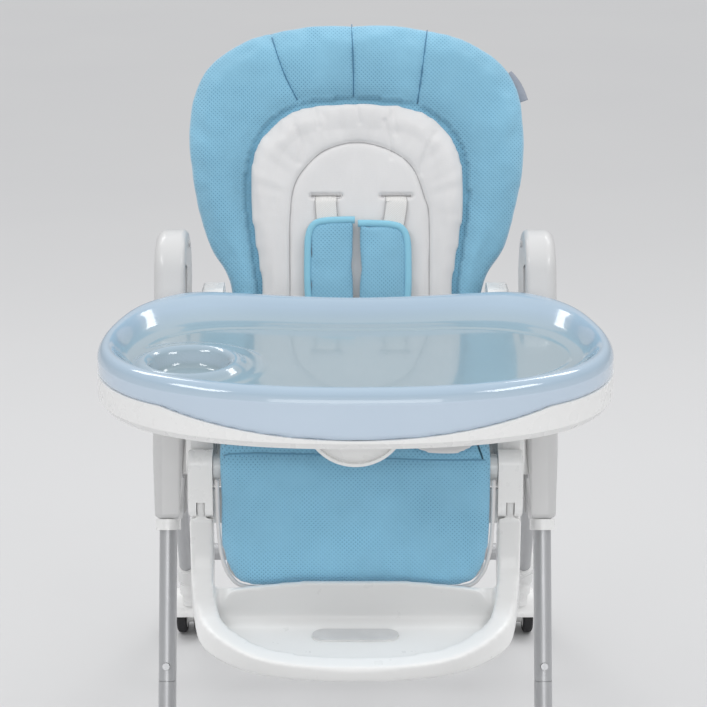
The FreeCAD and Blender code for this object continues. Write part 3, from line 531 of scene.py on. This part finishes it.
def rubber(name, colour, roughness=0.7):
    material, tree, shader = start_material(name, roughness)
    where = place_of(tree)
    base = linear(colour)
    dusty = tuple(min(1, c * 1.15 + 0.01) for c in base[:3]) + (1.0,)
    dust = ranged(tree, noise_of(tree, where, 50.0, 6.0), 0.4, 0.75, 0.0, 0.6)
    tree.links.new(mixed(tree, dust, base, dusty), shader.inputs["Base Color"])
    tree.links.new(ranged(tree, dust, 0, 0.6, roughness - 0.1, roughness + 0.15),
                   shader.inputs["Roughness"])
    bumped(tree, shader, noise_of(tree, where, 900.0, 2.0), 0.0001, 0.6)
    return material


WHITE = plastic("white_plastic", (234, 234, 233))
# Housing white: painted shade, the same white plastic made greyer to stand for the shade on the housings.
HOUSING_SHADED_WHITE = plastic("housing_plastic_painted_shade", (200, 200, 200), roughness=0.34)
# Footrest white: painted light, brighter than the other white plastic to make up for the tray's shade, with
# painted shade greying its faces turned towards -Y.
FOOT_PAINTED_LIGHT_WHITE = plastic("footrest_plastic_painted_light", (246, 246, 245), roughness=0.32, gloss=0.2, painted_front_shade=0.24)
TRAY_BLUE = tray_plastic("tray_blue_plastic")
BACK_CLOTH = perforated_fabric("back_mesh_cloth", BACK, (131, 183, 208), (58, 112, 150))
CALF_CLOTH = perforated_fabric("calf_mesh_cloth", plane(Vector((0, 0, 0)), Vector((0, 0, 1))),
                               (136, 192, 220), (66, 124, 164))
SEAT_CLOTH = perforated_fabric("seat_mesh_cloth", LEVEL, (131, 183, 208), (58, 112, 150))
BINDING_CLOTH = plain_cloth("binding_cloth", (142, 200, 222), shade=0.08)
LINER_CLOTH = plain_cloth("liner_cloth", (221, 220, 220), thread=0.9 * MM)
# Channel seam thread: real stitching, darker than the cloth as painted shade in the channel grooves.
SEAM_THREAD_PAINTED_SHADE = plain_cloth("seam_thread_painted_shade", (74, 126, 158), thread=0.4 * MM)
# Knee seam thread: real stitching, a little darker than the calf cloth as painted shade in the seam's fold.
KNEE_THREAD_PAINTED_SHADE = plain_cloth("knee_thread_painted_shade", (104, 158, 188), thread=0.4 * MM)
ELASTIC = plain_cloth("elastic", (40, 84, 104), thread=0.5 * MM)
# Arch seam thread: real stitching, grey against the white liner as painted shade in the arch seam's groove.
LINER_THREAD_PAINTED_SHADE = plain_cloth("liner_thread_painted_shade", (176, 175, 176), thread=0.4 * MM)
TAG_CLOTH = plain_cloth("tag_cloth", (172, 178, 190), thread=1.4 * MM, shade=0.35)
STRAP = webbing("harness_webbing", (222, 221, 219))
TUBE_METAL = metal("satin_tube", (188, 189, 191), 0.38, metallic=0.6)
STEEL = metal("plain_steel", (190, 192, 196), 0.28)
TYRE = rubber("black_tyre", (28, 28, 30))
DARK = plastic("dark_plastic", (58, 60, 64), roughness=0.4, gloss=0.1)
GRIP = rubber("grey_grip", (214, 214, 214), 0.62)


def dress_frame():
    """Better materials for the CAD pieces that stay."""
    by_slot = {"white_plastic": WHITE, "tray_blue": TRAY_BLUE, "silver_tube": TUBE_METAL,
               "steel": STEEL, "black_tyre": TYRE, "dark_plastic": DARK, "grey_grip": GRIP,
               "blue_fabric": BACK_CLOTH, "white_fabric": LINER_CLOTH, "webbing": STRAP}
    slots = {part["node"]: part["material_slot"] for part in frame["record"]["subparts"]}
    for name, node in NODES.items():
        node.data.materials.clear()
        node.data.materials.append(by_slot[slots[name]])
    for name, node in NODES.items():
        # the housings get the greyer copy of the white plastic, their painted shade
        if name.startswith("housing"):
            node.data.materials[0] = HOUSING_SHADED_WHITE
        if name.startswith("snap"):
            node.data.materials[0] = TUBE_METAL


# ---------------------------------------------------------------- backrest
BACK_OUTLINE = [(x + 2, h) for x, h in both_sides(
    [(156, 12), (158, 62), (160, 100), (168, 124), (181, 144), (192, 172), (203, 215), (209, 255),
     (209, 298), (202, 342), (180, 380), (136, 410), (74, 426)], (0, 431))]
LINER_SHIFT = 2.0
LINER_OUTLINE = [(x + LINER_SHIFT, h) for x, h in both_sides(
    [(118, 20), (119, 100), (127, 160), (133, 215), (128, 264), (106, 301), (66, 325)], (0, 331))]
LINER_CREASES = [[(-58, 330), (-48, 314), (-42, 294)], [(-4, 336), (1, 318), (5, 298)],
                 [(42, 336), (43, 316), (46, 286)], [(-70, 294), (-62, 270), (-64, 252)],
                 [(34, 300), (40, 276), (42, 258)], [(92, 286), (80, 262), (76, 240)]]
ARCH_SEAM = [(-75, 30), (-75, 107), (-75, 188), (-69, 229), (-48, 257), (-27, 270), (4, 276),
             (40, 267), (66, 247), (80, 212), (85, 188), (85, 107), (85, 30)]
BACK_SEAMS = ([(-101, 424), (-98, 404), (-83, 358), (-67, 326)],
              [(-3, 436), (-4, 410), (-2, 358), (-2, 330)],
              [(87, 427), (83, 404), (77, 358), (72, 322)])
SLOT_H, SLOT_LEFT, SLOT_RIGHT = 214, (-50, -17), (30, 64)
LINER_BACK, LINER_FRONT = 35 * MM, 48 * MM


def outline_of(points, inset=0.0, steps=8):
    return moved_in(smooth_curve(points, True, steps) * MM, inset * MM)


def back_cushion():
    """Horseshoe of blue mesh cloth round the liner, with three stitched channels whose threads are darker to paint
    the shade in their grooves.
    """
    piece = stuffed("back_cushion", outline_of(BACK_OUTLINE, 7), 6 * MM, 34 * MM, cap=9 * MM)
    edge = closed_line(outline_of(BACK_OUTLINE))
    liner = outline_of(LINER_OUTLINE, 3)
    points = points_of(piece)
    plan = points[:, :2]
    to_edge = distance_to_line(plan, edge)
    to_liner = distance_to_line(plan, closed_line(liner))
    under = inside(plan, liner)
    front = ease(points[:, 2], 14 * MM, 30 * MM)
    share = to_liner / np.maximum(to_liner + to_edge, 1e-6)
    ridge = np.sin(math.pi * np.clip(share, 0, 1)) ** 0.8
    lift = np.where(under, -3 * MM, ridge * 7 * MM - 3 * MM * np.exp(-(to_liner / 0.009) ** 2))
    points[:, 2] += lift * front
    for seam in BACK_SEAMS:
        line = smooth_curve(seam, False, 6) * MM
        gap = distance_to_line(plan, line)
        fall = np.exp(-(gap / 0.0022) ** 2) * 3.2 * MM + np.exp(-(gap / 0.011) ** 2) * 2.6 * MM
        points[:, 2] -= fall * front
        at_rim = np.exp(-(gap / 0.006) ** 2) * ease(to_edge, 0.02, 0.0)
        points[:, 1] -= at_rim * 3.0 * MM
    band = np.exp(-((points[:, 2] - 10 * MM) / 0.0022) ** 2) * ease(to_edge, 0.022, 0.008)
    middle = np.array([0, 0.21])
    inward = middle - plan
    inward /= np.maximum(np.linalg.norm(inward, axis=1), 1e-6)[:, None]
    points[:, :2] += inward * (band * 2.4 * MM)[:, None]
    points[:, 2] = np.where(under, np.minimum(points[:, 2], LINER_BACK - 0.4 * MM), points[:, 2])
    points[:, 2] = np.maximum(points[:, 2], 0.8 * MM)
    set_points(piece, points)
    ripple(piece, 0.05, 1.6 * MM, 3.0)
    ripple(piece, 0.018, 0.5 * MM, 9.0)
    place(piece, BACK)
    # darker threads laid in the channel grooves: stitching and painted shade
    for number, seam in enumerate(BACK_SEAMS, 1):
        line = smooth_curve(seam, False, 6) * MM
        line = line[inside(line, outline_of(BACK_OUTLINE, 8))]
        sewn_line(f"channel_seam_{number}", piece, line, BACK, SEAM_THREAD_PAINTED_SHADE, "backrest")
    dress(piece, BACK_CLOTH, "backrest", ["backrest_pad"])


def liner():
    """White reversible liner: a puckered border round a quilted middle with two slots."""
    outline = outline_of(LINER_OUTLINE, 4)
    piece = stuffed("back_liner", outline, LINER_BACK + 3 * MM, LINER_FRONT - 3 * MM,
                    voxel=4 * MM, cap=5 * MM)
    points = points_of(piece)
    plan = points[:, :2]
    edge = closed_line(outline_of(LINER_OUTLINE))
    to_edge = distance_to_line(plan, edge)
    arch = smooth_curve(ARCH_SEAM, False, 6) * MM
    to_arch = distance_to_line(plan, arch)
    front = ease(points[:, 2], LINER_BACK + 4 * MM, LINER_FRONT - 3 * MM)
    bearing = np.arctan2(plan[:, 0] - LINER_SHIFT * MM, plan[:, 1] - 0.19)
    border = ease(to_arch, 0.0, 0.02) * (~inside(plan, closed_line(arch)))
    above = ease(plan[:, 1], 0.16, 0.24)
    folds = (np.sin(bearing * 9 + 0.7) + 0.8 * np.sin(bearing * 16.7 + 2.1)
             + 0.6 * np.sin(bearing * 29.3 + 4.0) + 0.4 * np.sin(bearing * 47.0 + 1.0))
    points[:, 2] += folds * border * above * 0.45 * MM * front
    points[:, 2] += border * np.sin(math.pi * np.clip(to_edge / 0.04, 0, 1)) * 2.4 * MM * front
    scallop = ease(to_edge, 0.012, 0.0) * above
    points[:, :2] *= (1 + folds * scallop * 0.004)[:, None]
    for crease in LINER_CREASES:
        gap = distance_to_line(plan, smooth_curve(crease, False, 5) * MM)
        points[:, 2] -= np.exp(-(gap / 0.0028) ** 2) * 1.9 * MM * front
        points[:, 1] -= np.exp(-(gap / 0.004) ** 2) * ease(to_edge, 0.01, 0.0) * 2.5 * MM
    points[:, 2] -= np.exp(-(to_arch / 0.0016) ** 2) * 2.6 * MM * front
    points[:, 2] -= np.exp(-(to_arch / 0.006) ** 2) * 1.4 * MM * front
    for first, last in (SLOT_LEFT, SLOT_RIGHT):
        slit = np.array([(first, SLOT_H), (last, SLOT_H)]) * MM
        points[:, 2] -= np.exp(-(distance_to_line(plan, slit) / 0.002) ** 2) * 7 * MM * front
    points[:, 2] = np.maximum(points[:, 2], LINER_BACK)
    set_points(piece, points)
    ripple(piece, 0.035, 1.2 * MM, 5.0, stretch=(1.6, 0.6, 1))
    ripple(piece, 0.012, 0.35 * MM, 1.0, stretch=(1.8, 0.5, 1))
    place(piece, BACK)
    # grey thread along the arch groove: stitching and painted shade
    sewn_line("arch_seam", piece, arch[4:-4], BACK, LINER_THREAD_PAINTED_SHADE, "backrest", 0.5 * MM)
    dress(piece, LINER_CLOTH, "backrest", ["liner_pad"])


THREAD_RADIUS, THREAD_SINK, THREAD_REACH = 0.65 * MM, 0.1 * MM, 3.2 * MM


def sewn_line(name, piece, line, plane_matrix, material, body, radius=THREAD_RADIUS):
    """A thread laid along a line on the front of a flat-made piece, at the height it finds."""
    flat = points_of(piece) @ np.array(plane_matrix.inverted().to_3x3()).T
    flat += np.array(plane_matrix.inverted().translation)
    path = []
    for x, v in line:
        heights = flat[np.hypot(flat[:, 0] - x, flat[:, 1] - v) < THREAD_REACH, 2]
        if len(heights):
            front = np.median(heights[heights >= heights.mean()])
            path.append(plane_matrix @ Vector((x, v, front - THREAD_SINK)))
    made = tube_on(name, np.array(path), radius, radius, plane_matrix.col[2].to_3d(), 8)
    return dress(made, material, body)


def on_back(points):
    """(across, up, out) in millimetres to the row frame."""
    return np.array([BACK @ Vector(p) for p in np.array(points) * MM])


def strap(name, path, width, thickness, steps=6):
    """Flat webbing along a path of points in the row frame, rounded at its edges."""
    line = smooth_curve([tuple(p) for p in path], False, steps)
    return tube_on(name, line, width / 2, thickness / 2, (1, 0, 0), around=12)


def slot_welt(name, slot):
    """Stitched rim round the slot that the strap comes out of."""
    first, last = slot
    corners = [(first - 1, SLOT_H + 2), (last + 1, SLOT_H + 2), (last + 1, SLOT_H - 2),
               (first - 1, SLOT_H - 2), (first - 1, SLOT_H + 2)]
    out = LINER_FRONT / MM + 0.2
    path = []
    for (x0, h0), (x1, h1) in zip(corners[:-1], corners[1:]):
        path += [(x0 + (x1 - x0) * k / 6, h0 + (h1 - h0) * k / 6, out) for k in range(6)]
    path.append(path[0])
    piece = tube_on(name, on_back(path), 0.5 * MM, 0.5 * MM, BACK.col[2].to_3d(), around=8)
    dress(piece, LINER_CLOTH, "backrest")


PAD_OUTLINE = [(0, 78), (20, 76), (50, 76), (57, 84), (58.5, 110), (58.5, 140), (57.5, 162),
               (52, 175), (40, 180), (12, 181.5), (1, 180), (0, 130)]
BOUND_EDGE = [(40, 75.5), (52, 78), (57, 92), (58.5, 110), (58.5, 140), (57.5, 162), (52, 175),
              (40, 180), (16, 181.5), (1, 181.5)]
PAD_START = {"right": 2.0, "left": 0.5}


def pad_line(points, side):
    """Points of the right pad's drawing, moved to the pad's place or mirrored for the left."""
    if side == "right":
        return [(x + PAD_START[side], h) for x, h in points]
    return [(PAD_START[side] - x * 0.94, h + 4) for x, h in reversed(points)]


def shoulder_pads():
    """Two padded strap covers, bound in lighter cloth round their outer edges."""
    for side in ("right", "left"):
        outline = outline_of(pad_line(PAD_OUTLINE, side), 2.0)
        piece = stuffed("shoulder_pad_cover_" + side, outline, 55.5 * MM, 62 * MM,
                        voxel=2.5 * MM, cap=3 * MM)
        place(piece, BACK)
        ripple(piece, 0.02, 0.6 * MM, 2.0 if side == "right" else 5.0)
        dress(piece, BACK_CLOTH, "backrest", ["shoulder_pad_" + side])
        line = smooth_curve(pad_line(BOUND_EDGE, side), False, 6)
        path = on_back([(x, h, 58.6) for x, h in line])
        binding = tube_on("shoulder_binding_" + side, path, 3.6 * MM, 4.2 * MM,
                          BACK.col[2].to_3d(), around=14)
        dress(binding, BINDING_CLOTH, "backrest")


def shoulder_webbing():
    for side, slot in (("right", SLOT_RIGHT), ("left", SLOT_LEFT)):
        middle = sum(slot) / 2
        target = 40 if side == "right" else -30
        path = on_back([(middle, SLOT_H + 1, 40), (middle, SLOT_H - 1, 46),
                        (middle, SLOT_H - 4, 50.5), (middle, SLOT_H - 14, 53.2),
                        (target, 150, 54), (target, 90, 53.6), (target, 30, 53.2)])
        piece = strap("shoulder_webbing_" + side, path, 25 * MM, 1.5 * MM)
        replaced = ["shoulder_straps"] if side == "right" else []
        dress(piece, STRAP, "backrest", replaced)
        slot_welt("slot_welt_" + side, slot)


def side_tag():
    """Plain woven tag caught in the cushion's side seam."""
    points = on_back([(177, 358, 24), (185, 348, 25), (191, 337, 25), (195, 326, 24)])
    line = smooth_curve([tuple(p) for p in points], False, 5)
    piece = tube_on("side_tag", line, 6.5 * MM, 0.8 * MM, (1, 0, 0), around=12)
    dress(piece, TAG_CLOTH, "backrest")


# ---------------------------------------------------------------- seat and knee
SEAT_TOP = 466 * MM
KNEE_PATH = [(-184, 456), (-190, 466), (-200, 473.5), (-210, 473), (-216.5, 464),
             (-217.8, 450), (-217.8, 420), (-217.8, 380), (-217.8, 330)]
CALF_THICK = 17 * MM
KNEE_SEAM, KNEE_SEAM_WAVE, KNEE_SEAM_PERIOD = 40 * MM, 2 * MM, 60 * MM
KNEE_ELASTICS = {"left": ((-124, 23), (-135, 33)), "right": ((122, 27), (132, 41))}


def seat_cushion():
    rounded = smooth_curve([(141, -180), (145, -120), (146, 0), (140, 31), (90, 33), (0, 33.5),
                            (-90, 33), (-140, 31), (-146, 0), (-145, -120), (-141, -180),
                            (-90, -183.5), (0, -184), (90, -183.5)], True, 6) * MM
    piece = stuffed("seat_cushion", moved_in(rounded, 4 * MM), 449 * MM, 461 * MM,
                    cap=6 * MM)
    points = points_of(piece)
    for x in (-95, 95):
        gap = np.abs(points[:, 0] - x * MM)
        points[:, 2] -= np.exp(-(gap / 0.002) ** 2) * 2.5 * MM * ease(points[:, 2], 0.455, 0.463)
    points[:, 2] = np.clip(points[:, 2], 444.3 * MM, SEAT_TOP + 1.5 * MM)
    set_points(piece, points)
    dress(piece, SEAT_CLOTH, "seat", ["seat_pad"])


def knee_line():
    return smooth_curve(KNEE_PATH, False, 6) * MM


def path_length(path):
    return np.linalg.norm(np.diff(path, axis=0), axis=1).sum()


def knee_seam(across):
    """How far along the knee path the cover's cross seam runs."""
    return KNEE_SEAM + KNEE_SEAM_WAVE * np.sin(across / KNEE_SEAM_PERIOD)


def knee_stitching(piece, path):
    """The cross seam's thread and the two corner elastics, on the still flat calf cushion."""
    across = np.linspace(-137, 137, 80) * MM
    # the knee seam's thread is darker than the cloth: stitching and painted shade of the fold
    lines = [("knee_seam", KNEE_THREAD_PAINTED_SHADE, np.column_stack([across, knee_seam(across)]), 0.5 * MM)]
    for side, (first, last) in KNEE_ELASTICS.items():
        lines.append(("knee_elastic_" + side, ELASTIC, np.linspace(first, last, 12) * MM, 1 * MM))
    for name, cloth, line, radius in lines:
        laid = sewn_line(name, piece, line, Matrix.Identity(4), cloth, None, radius)
        bend_along(laid, path)
        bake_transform(laid)


def calf_cushion():
    """One cover from the seat's front, over the knee and down to the footrest."""
    path = knee_line()
    length = path_length(path) / MM
    low = length - 2
    right = [(60, low), (112, low - 1), (130, low - 12), (139, low - 34), (142.5, low - 70),
             (143.5, 60), (143, 20), (136, 3), (80, 0)]
    outline = smooth_curve([(-x, s) for x, s in reversed(right)] + right, True, 6) * MM
    piece = stuffed("calf_cushion", moved_in(outline, -4 * MM), 3 * MM, CALF_THICK - 4 * MM,
                    voxel=4.5 * MM, cap=5 * MM)
    points = points_of(piece)
    front = ease(points[:, 2], 5 * MM, 12 * MM)
    gap = points[:, 1] - knee_seam(points[:, 0])
    fold = np.exp(-(gap / 0.0016) ** 2) * 2.4 + np.exp(-(gap / 0.007) ** 2) * 1.3
    points[:, 2] -= fold * MM * front
    points[:, 2] = np.maximum(points[:, 2], 0.3 * MM)
    set_points(piece, points)
    ripple(piece, 0.05, 1.3 * MM, 7.0)
    ripple(piece, 0.016, 0.4 * MM, 4.0)
    knee_stitching(piece, path)
    bend_along(piece, path)
    dress(piece, CALF_CLOTH, None, ["legrest_pad"])
    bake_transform(piece)


def calf_piping():
    """White piping down both sides of the calf cushion and round its lower corners."""
    path = knee_line()
    length = path_length(path) / MM
    low = length - 1
    right = [(143.8, 58), (143.6, low - 72), (140.5, low - 36), (132, low - 12), (114, low),
             (60, low + 0.5)]
    line = smooth_curve(right + [(-x, s) for x, s in reversed(right)], False, 8) * MM
    flat = np.column_stack([line, np.full(len(line), 8.5 * MM)])
    piece = tube_on("calf_piping", flat, 2.2 * MM, 2.2 * MM, (0, 0, 1), around=10)
    bend_along(piece, path)
    dress(piece, LINER_CLOTH, "legrest")


def seat_liner():
    """White liner on the seat; its front edge falls over the knee on one side."""
    path = smooth_curve([(28, 467.5), (-40, 467.3), (-120, 467.3), (-172, 470), (-190, 482),
                         (-206, 491), (-222, 489), (-234, 479), (-236.5, 466)], False, 8) * MM
    outline = smooth_curve([(106, 2), (112, 60), (114, 150), (124, 228), (129, 256), (116, 270),
                            (92, 275), (66, 270), (50, 256), (20, 244), (-40, 242),
                            (-104, 240), (-116, 200), (-114, 150), (-112, 60), (-106, 2),
                            (-50, 0), (50, 0)], True, 6) * MM
    piece = stuffed("seat_liner", moved_in(outline, 2.5 * MM), 0.8 * MM, 5.2 * MM,
                    voxel=3 * MM, pressure=3.0, cap=1.8 * MM)
    bend_along(piece, path)
    dress(piece, LINER_CLOTH)
    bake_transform(piece)


def lumbar_liner():
    """The liner's bend between the seat and the back."""
    low = on_back([(0, 44, 42)])[0] / MM
    high = on_back([(0, 78, 49)])[0] / MM
    path = smooth_curve([(-24, 478.6), (-4, 479.6), (10, 486), (low[1] - 9, low[2] - 10),
                         (high[1] - 4, high[2])], False, 8) * MM
    outline = smooth_curve([(96, 2), (108, 30), (110, 84), (96, 106), (0, 108), (-96, 106),
                            (-110, 84), (-108, 30), (-96, 2), (0, 0)], True, 6) * MM
    piece = stuffed("lumbar_liner", moved_in(outline, 2 * MM), 0.6 * MM, 4.6 * MM,
                    voxel=4 * MM, pressure=3.0, cap=2 * MM)
    bend_along(piece, path)
    dress(piece, LINER_CLOTH)
    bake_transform(piece)


def lap_straps():
    """Waist webbing and the crotch strap, lying on the seat liner."""
    top = 476.2
    crotch = strap("crotch_webbing", np.array([(0, -149, 466), (0, -146, 474), (0, -136, top),
                                               (0, -118, top), (0, -96, top + 4)]) * MM,
                   28 * MM, 1.6 * MM)
    dress(crotch, STRAP, "seat", ["crotch_strap"])
    for sign, side in ((1, "right"), (-1, "left")):
        line = np.array([(sign * 20, -80, top + 5), (sign * 34, -80, top + 2),
                         (sign * 60, -79, top), (sign * 100, -77, top), (sign * 132, -74, top),
                         (sign * 146, -72, top + 1)]) * MM
        path = smooth_curve([tuple(p) for p in line], False, 6)
        piece = tube_on("waist_webbing_" + side, path, 12 * MM, 0.8 * MM, (0, 1, 0), 12)
        replaced = ["waist_straps"] if sign > 0 else []
        dress(piece, STRAP, "seat", replaced)


# ---------------------------------------------------------------- moulded footrest
def moulded(name, node, material, body, voxel=2.0 * MM, soften=14):
    """A CAD piece with the soft rounded edges of a moulding."""
    piece = bpy.data.objects.new(name, NODES[node].data.copy())
    bpy.context.scene.collection.objects.link(piece)
    modify(piece, "REMESH", mode="VOXEL", voxel_size=voxel)
    modify(piece, "SMOOTH", factor=0.6, iterations=soften)
    dress(piece, material, body, [node])


# ---------------------------------------------------------------- tray top
TRAY_RIGHT = [(72, -72), (124, -61), (176, -53), (206, -69), (234, -104), (251, -150),
              (261, -205), (259, -258), (240, -306), (205, -344), (152, -372), (82, -389)]
TRAY_WALL = np.arange(556.5, 594, 2.4)
TRAY_FLOOR_EDGE = [(62, -129), (112, -125), (154, -130), (182, -142), (204, -160), (219, -184),
                   (228, -214), (226, -248), (208, -280), (177, -307), (130, -329), (70, -343)]
TRAY_RIM = [(0.01, 595), (0.06, 600.4), (0.15, 604.8), (0.26, 606.6), (0.38, 606), (0.5, 603),
            (0.62, 599), (0.75, 595), (0.88, 592.2), (1.0, 591)]
TUCKED_IN, LIP_RADIUS, LIP_LOW, LIP_HIGH = 4.8, 831.0, 557.5, 579.0
CUP = np.array([-166, -262]) * MM
CUP_PROFILE = [(0, 577), (27, 577), (31, 577.6), (34, 580.5), (36.5, 586), (39, 591.5),
               (43, 595.4), (47.5, 596.6), (52, 594.6), (57, 591.2), (62, 590), (70, 590)]
FLOOR_STEP, FLOOR_TOP, FLOOR_RINGS, FLOOR_MIDDLE = 1.6 * MM, 0.59, 90, (0, -0.235)
CUP_BOWL, CUP_RING = 0.040, 0.066


def tray_outline(inset=0.0, steps=14):
    """The tray's kidney-shaped plan, seen from above."""
    return moved_in(kidney(TRAY_RIGHT, -79, -394, steps), inset * MM)


def kidney(right, back, front, steps=14):
    points = [(0, back)] + right + [(0, front)] + [(-x, y) for x, y in reversed(right)]
    return smooth_curve(points, True, steps)[::-1] * MM


def tray_wall():
    """Loops up the side: tucked inside the white base's lip, and flush with it above."""
    outer = tray_outline()
    front = ease(outer[:, 1], -0.06, -0.2)
    dipped = np.minimum(LIP_LOW + (outer[:, 0] / MM) ** 2 / (2 * LIP_RADIUS), LIP_HIGH)
    lip = LIP_HIGH + (dipped - LIP_HIGH) * front
    tucked, flush = tray_outline(TUCKED_IN), tray_outline(0.6)
    for level in TRAY_WALL:
        share = ease(level - lip, 0.2, 1.6)[:, None]
        yield tucked + (flush - tucked) * share, level


def tray_top():
    """Blue tray: rounded rim, sunken floor with a soft step, and a raised cup ring."""
    loops, heights = [], []
    for loop, level in tray_wall():
        loops.append(loop)
        heights.append(np.full(len(loop), level * MM))
    outer, inner = tray_outline(), kidney(TRAY_FLOOR_EDGE, -131, -348)
    for share, level in smooth_curve(TRAY_RIM, False, 5):
        loops.append(outer + (inner - outer) * share)
        heights.append(np.full(len(outer), level * MM))
    wall_loops = len(loops)
    count = len(inner)
    middle = np.array(FLOOR_MIDDLE)
    for k in range(1, FLOOR_RINGS):
        share = k / FLOOR_RINGS
        loops.append(inner * (1 - share) + middle * share)
        heights.append(np.full(count, FLOOR_TOP))
    plan = np.vstack(loops + [middle[None, :]])
    z = np.concatenate(heights + [np.array([FLOOR_TOP])])
    z += ease(plan[:, 1], -0.22, -0.07) * 4 * MM * ease(z, 0.592, 0.606)
    row = np.arange(len(plan)) // count
    to_floor = distance_to_line(plan, closed_line(inner))
    floor = row >= wall_loops
    from_cup = np.linalg.norm(plan - CUP, axis=1)
    step = ease(to_floor, 0.007, 0.013) * ease(from_cup, 0.072, 0.08) * FLOOR_STEP
    z[floor] = (0.591 - ease(to_floor, 0, 0.006) * 0.8 * MM - step)[floor]
    profile = smooth_curve(CUP_PROFILE, False, 5) * MM
    cup = np.interp(from_cup, profile[:, 0], profile[:, 1])
    bowl = floor & (from_cup < CUP_BOWL)
    ring = (row > len(TRAY_WALL) + 18) & (from_cup < CUP_RING) & ~bowl
    z = np.where(bowl, cup, np.where(ring, np.maximum(z, cup), z))
    points = np.column_stack([plan, z])
    faces = []
    for k in range(len(loops) - 1):
        for i in range(count):
            a, b = k * count, (k + 1) * count
            nxt = (i + 1) % count
            faces.append((a + i, a + nxt, b + nxt, b + i))
    last = (len(loops) - 1) * count
    faces += [(last + i, last + (i + 1) % count, last + count) for i in range(count)]
    piece = piece_from("tray_top_shell", points, faces)
    modify(piece, "SMOOTH", factor=0.5, iterations=2)
    modify(piece, "SOLIDIFY", thickness=2.2 * MM, offset=-1.0)
    dress(piece, TRAY_BLUE, "tray_top", ["tray_insert"])


# ---------------------------------------------------------------- studio
def area_light(name, place_at, aim, size, power):
    data = bpy.data.lights.new(name, "AREA")
    data.shape = "RECTANGLE"
    data.size, data.size_y = size
    data.energy = power
    lamp = bpy.data.objects.new(name, data)
    lamp.location = place_at
    lamp.rotation_euler = (Vector(aim) - Vector(place_at)).to_track_quat("-Z", "Y").to_euler()
    bpy.context.scene.collection.objects.link(lamp)


SKY_LOW, SKY_HIGH = 0.38, 1.22
CAMERA_AT, CAMERA_TILT, CAMERA_LENS, SENSOR = (-0.002, -2.133, 1.210), 72, 100.3, 36


def studio():
    scene = bpy.context.scene
    scene.view_settings.view_transform = "Standard"
    world = bpy.data.worlds.new("studio")
    world.use_nodes = True
    background = world.node_tree.nodes["Background"]
    sky = world.node_tree
    direction = add(sky, "ShaderNodeTexCoord").outputs["Generated"]
    climb = add(sky, "ShaderNodeSeparateXYZ", {"Vector": direction}).outputs["Z"]
    sky.links.new(ranged(sky, climb, 0.0, 1.0, SKY_LOW, SKY_HIGH),
                  background.inputs["Strength"])
    background.inputs["Color"].default_value = (0.985, 0.99, 1.0, 1)
    scene.world = world
    floor, tree, shader = start_material("studio_floor", 0.9, Specular_IOR_Level=0.1)
    where = place_of(tree)
    tree.links.new(mixed(tree, noise_of(tree, where, 1.5), linear((206, 206, 207)),
                         linear((210, 210, 210))), shader.inputs["Base Color"])
    ground = piece_from("studio_floor", [(-20, -20, 0), (20, -20, 0), (20, 30, 0),
                                         (-20, 30, 0)], [(0, 1, 2, 3)])
    ground.data.materials.append(floor)
    for side, x in (("left", -1.2), ("right", 1.2)):
        area_light("softbox_" + side, (x, -0.9, 2.2), (0, -0.2, 0.6), (0.8, 0.36), 7)
        area_light("backbox_" + side, (x * 0.75, 1.0, 2.1), (0, -0.1, 0.6), (0.9, 0.3), 5)
    area_light("front_fill", (0, -4.0, 1.7), (0, 0, 0.5), (2.6, 1.4), 26)
    camera = bpy.data.cameras.new("camera")
    camera.sensor_width = SENSOR
    camera.lens = CAMERA_LENS
    viewer = bpy.data.objects.new("camera", camera)
    viewer.location = CAMERA_AT
    viewer.rotation_euler = (math.radians(CAMERA_TILT), 0, 0)
    scene.collection.objects.link(viewer)
    scene.camera = viewer


dress_frame()
back_cushion()
liner()
shoulder_webbing()
shoulder_pads()
side_tag()
seat_cushion()
seat_liner()
lumbar_liner()
calf_cushion()
calf_piping()
lap_straps()
moulded("footrest_shell", "footrest_frame", FOOT_PAINTED_LIGHT_WHITE, "footrest")
tray_top()
studio()
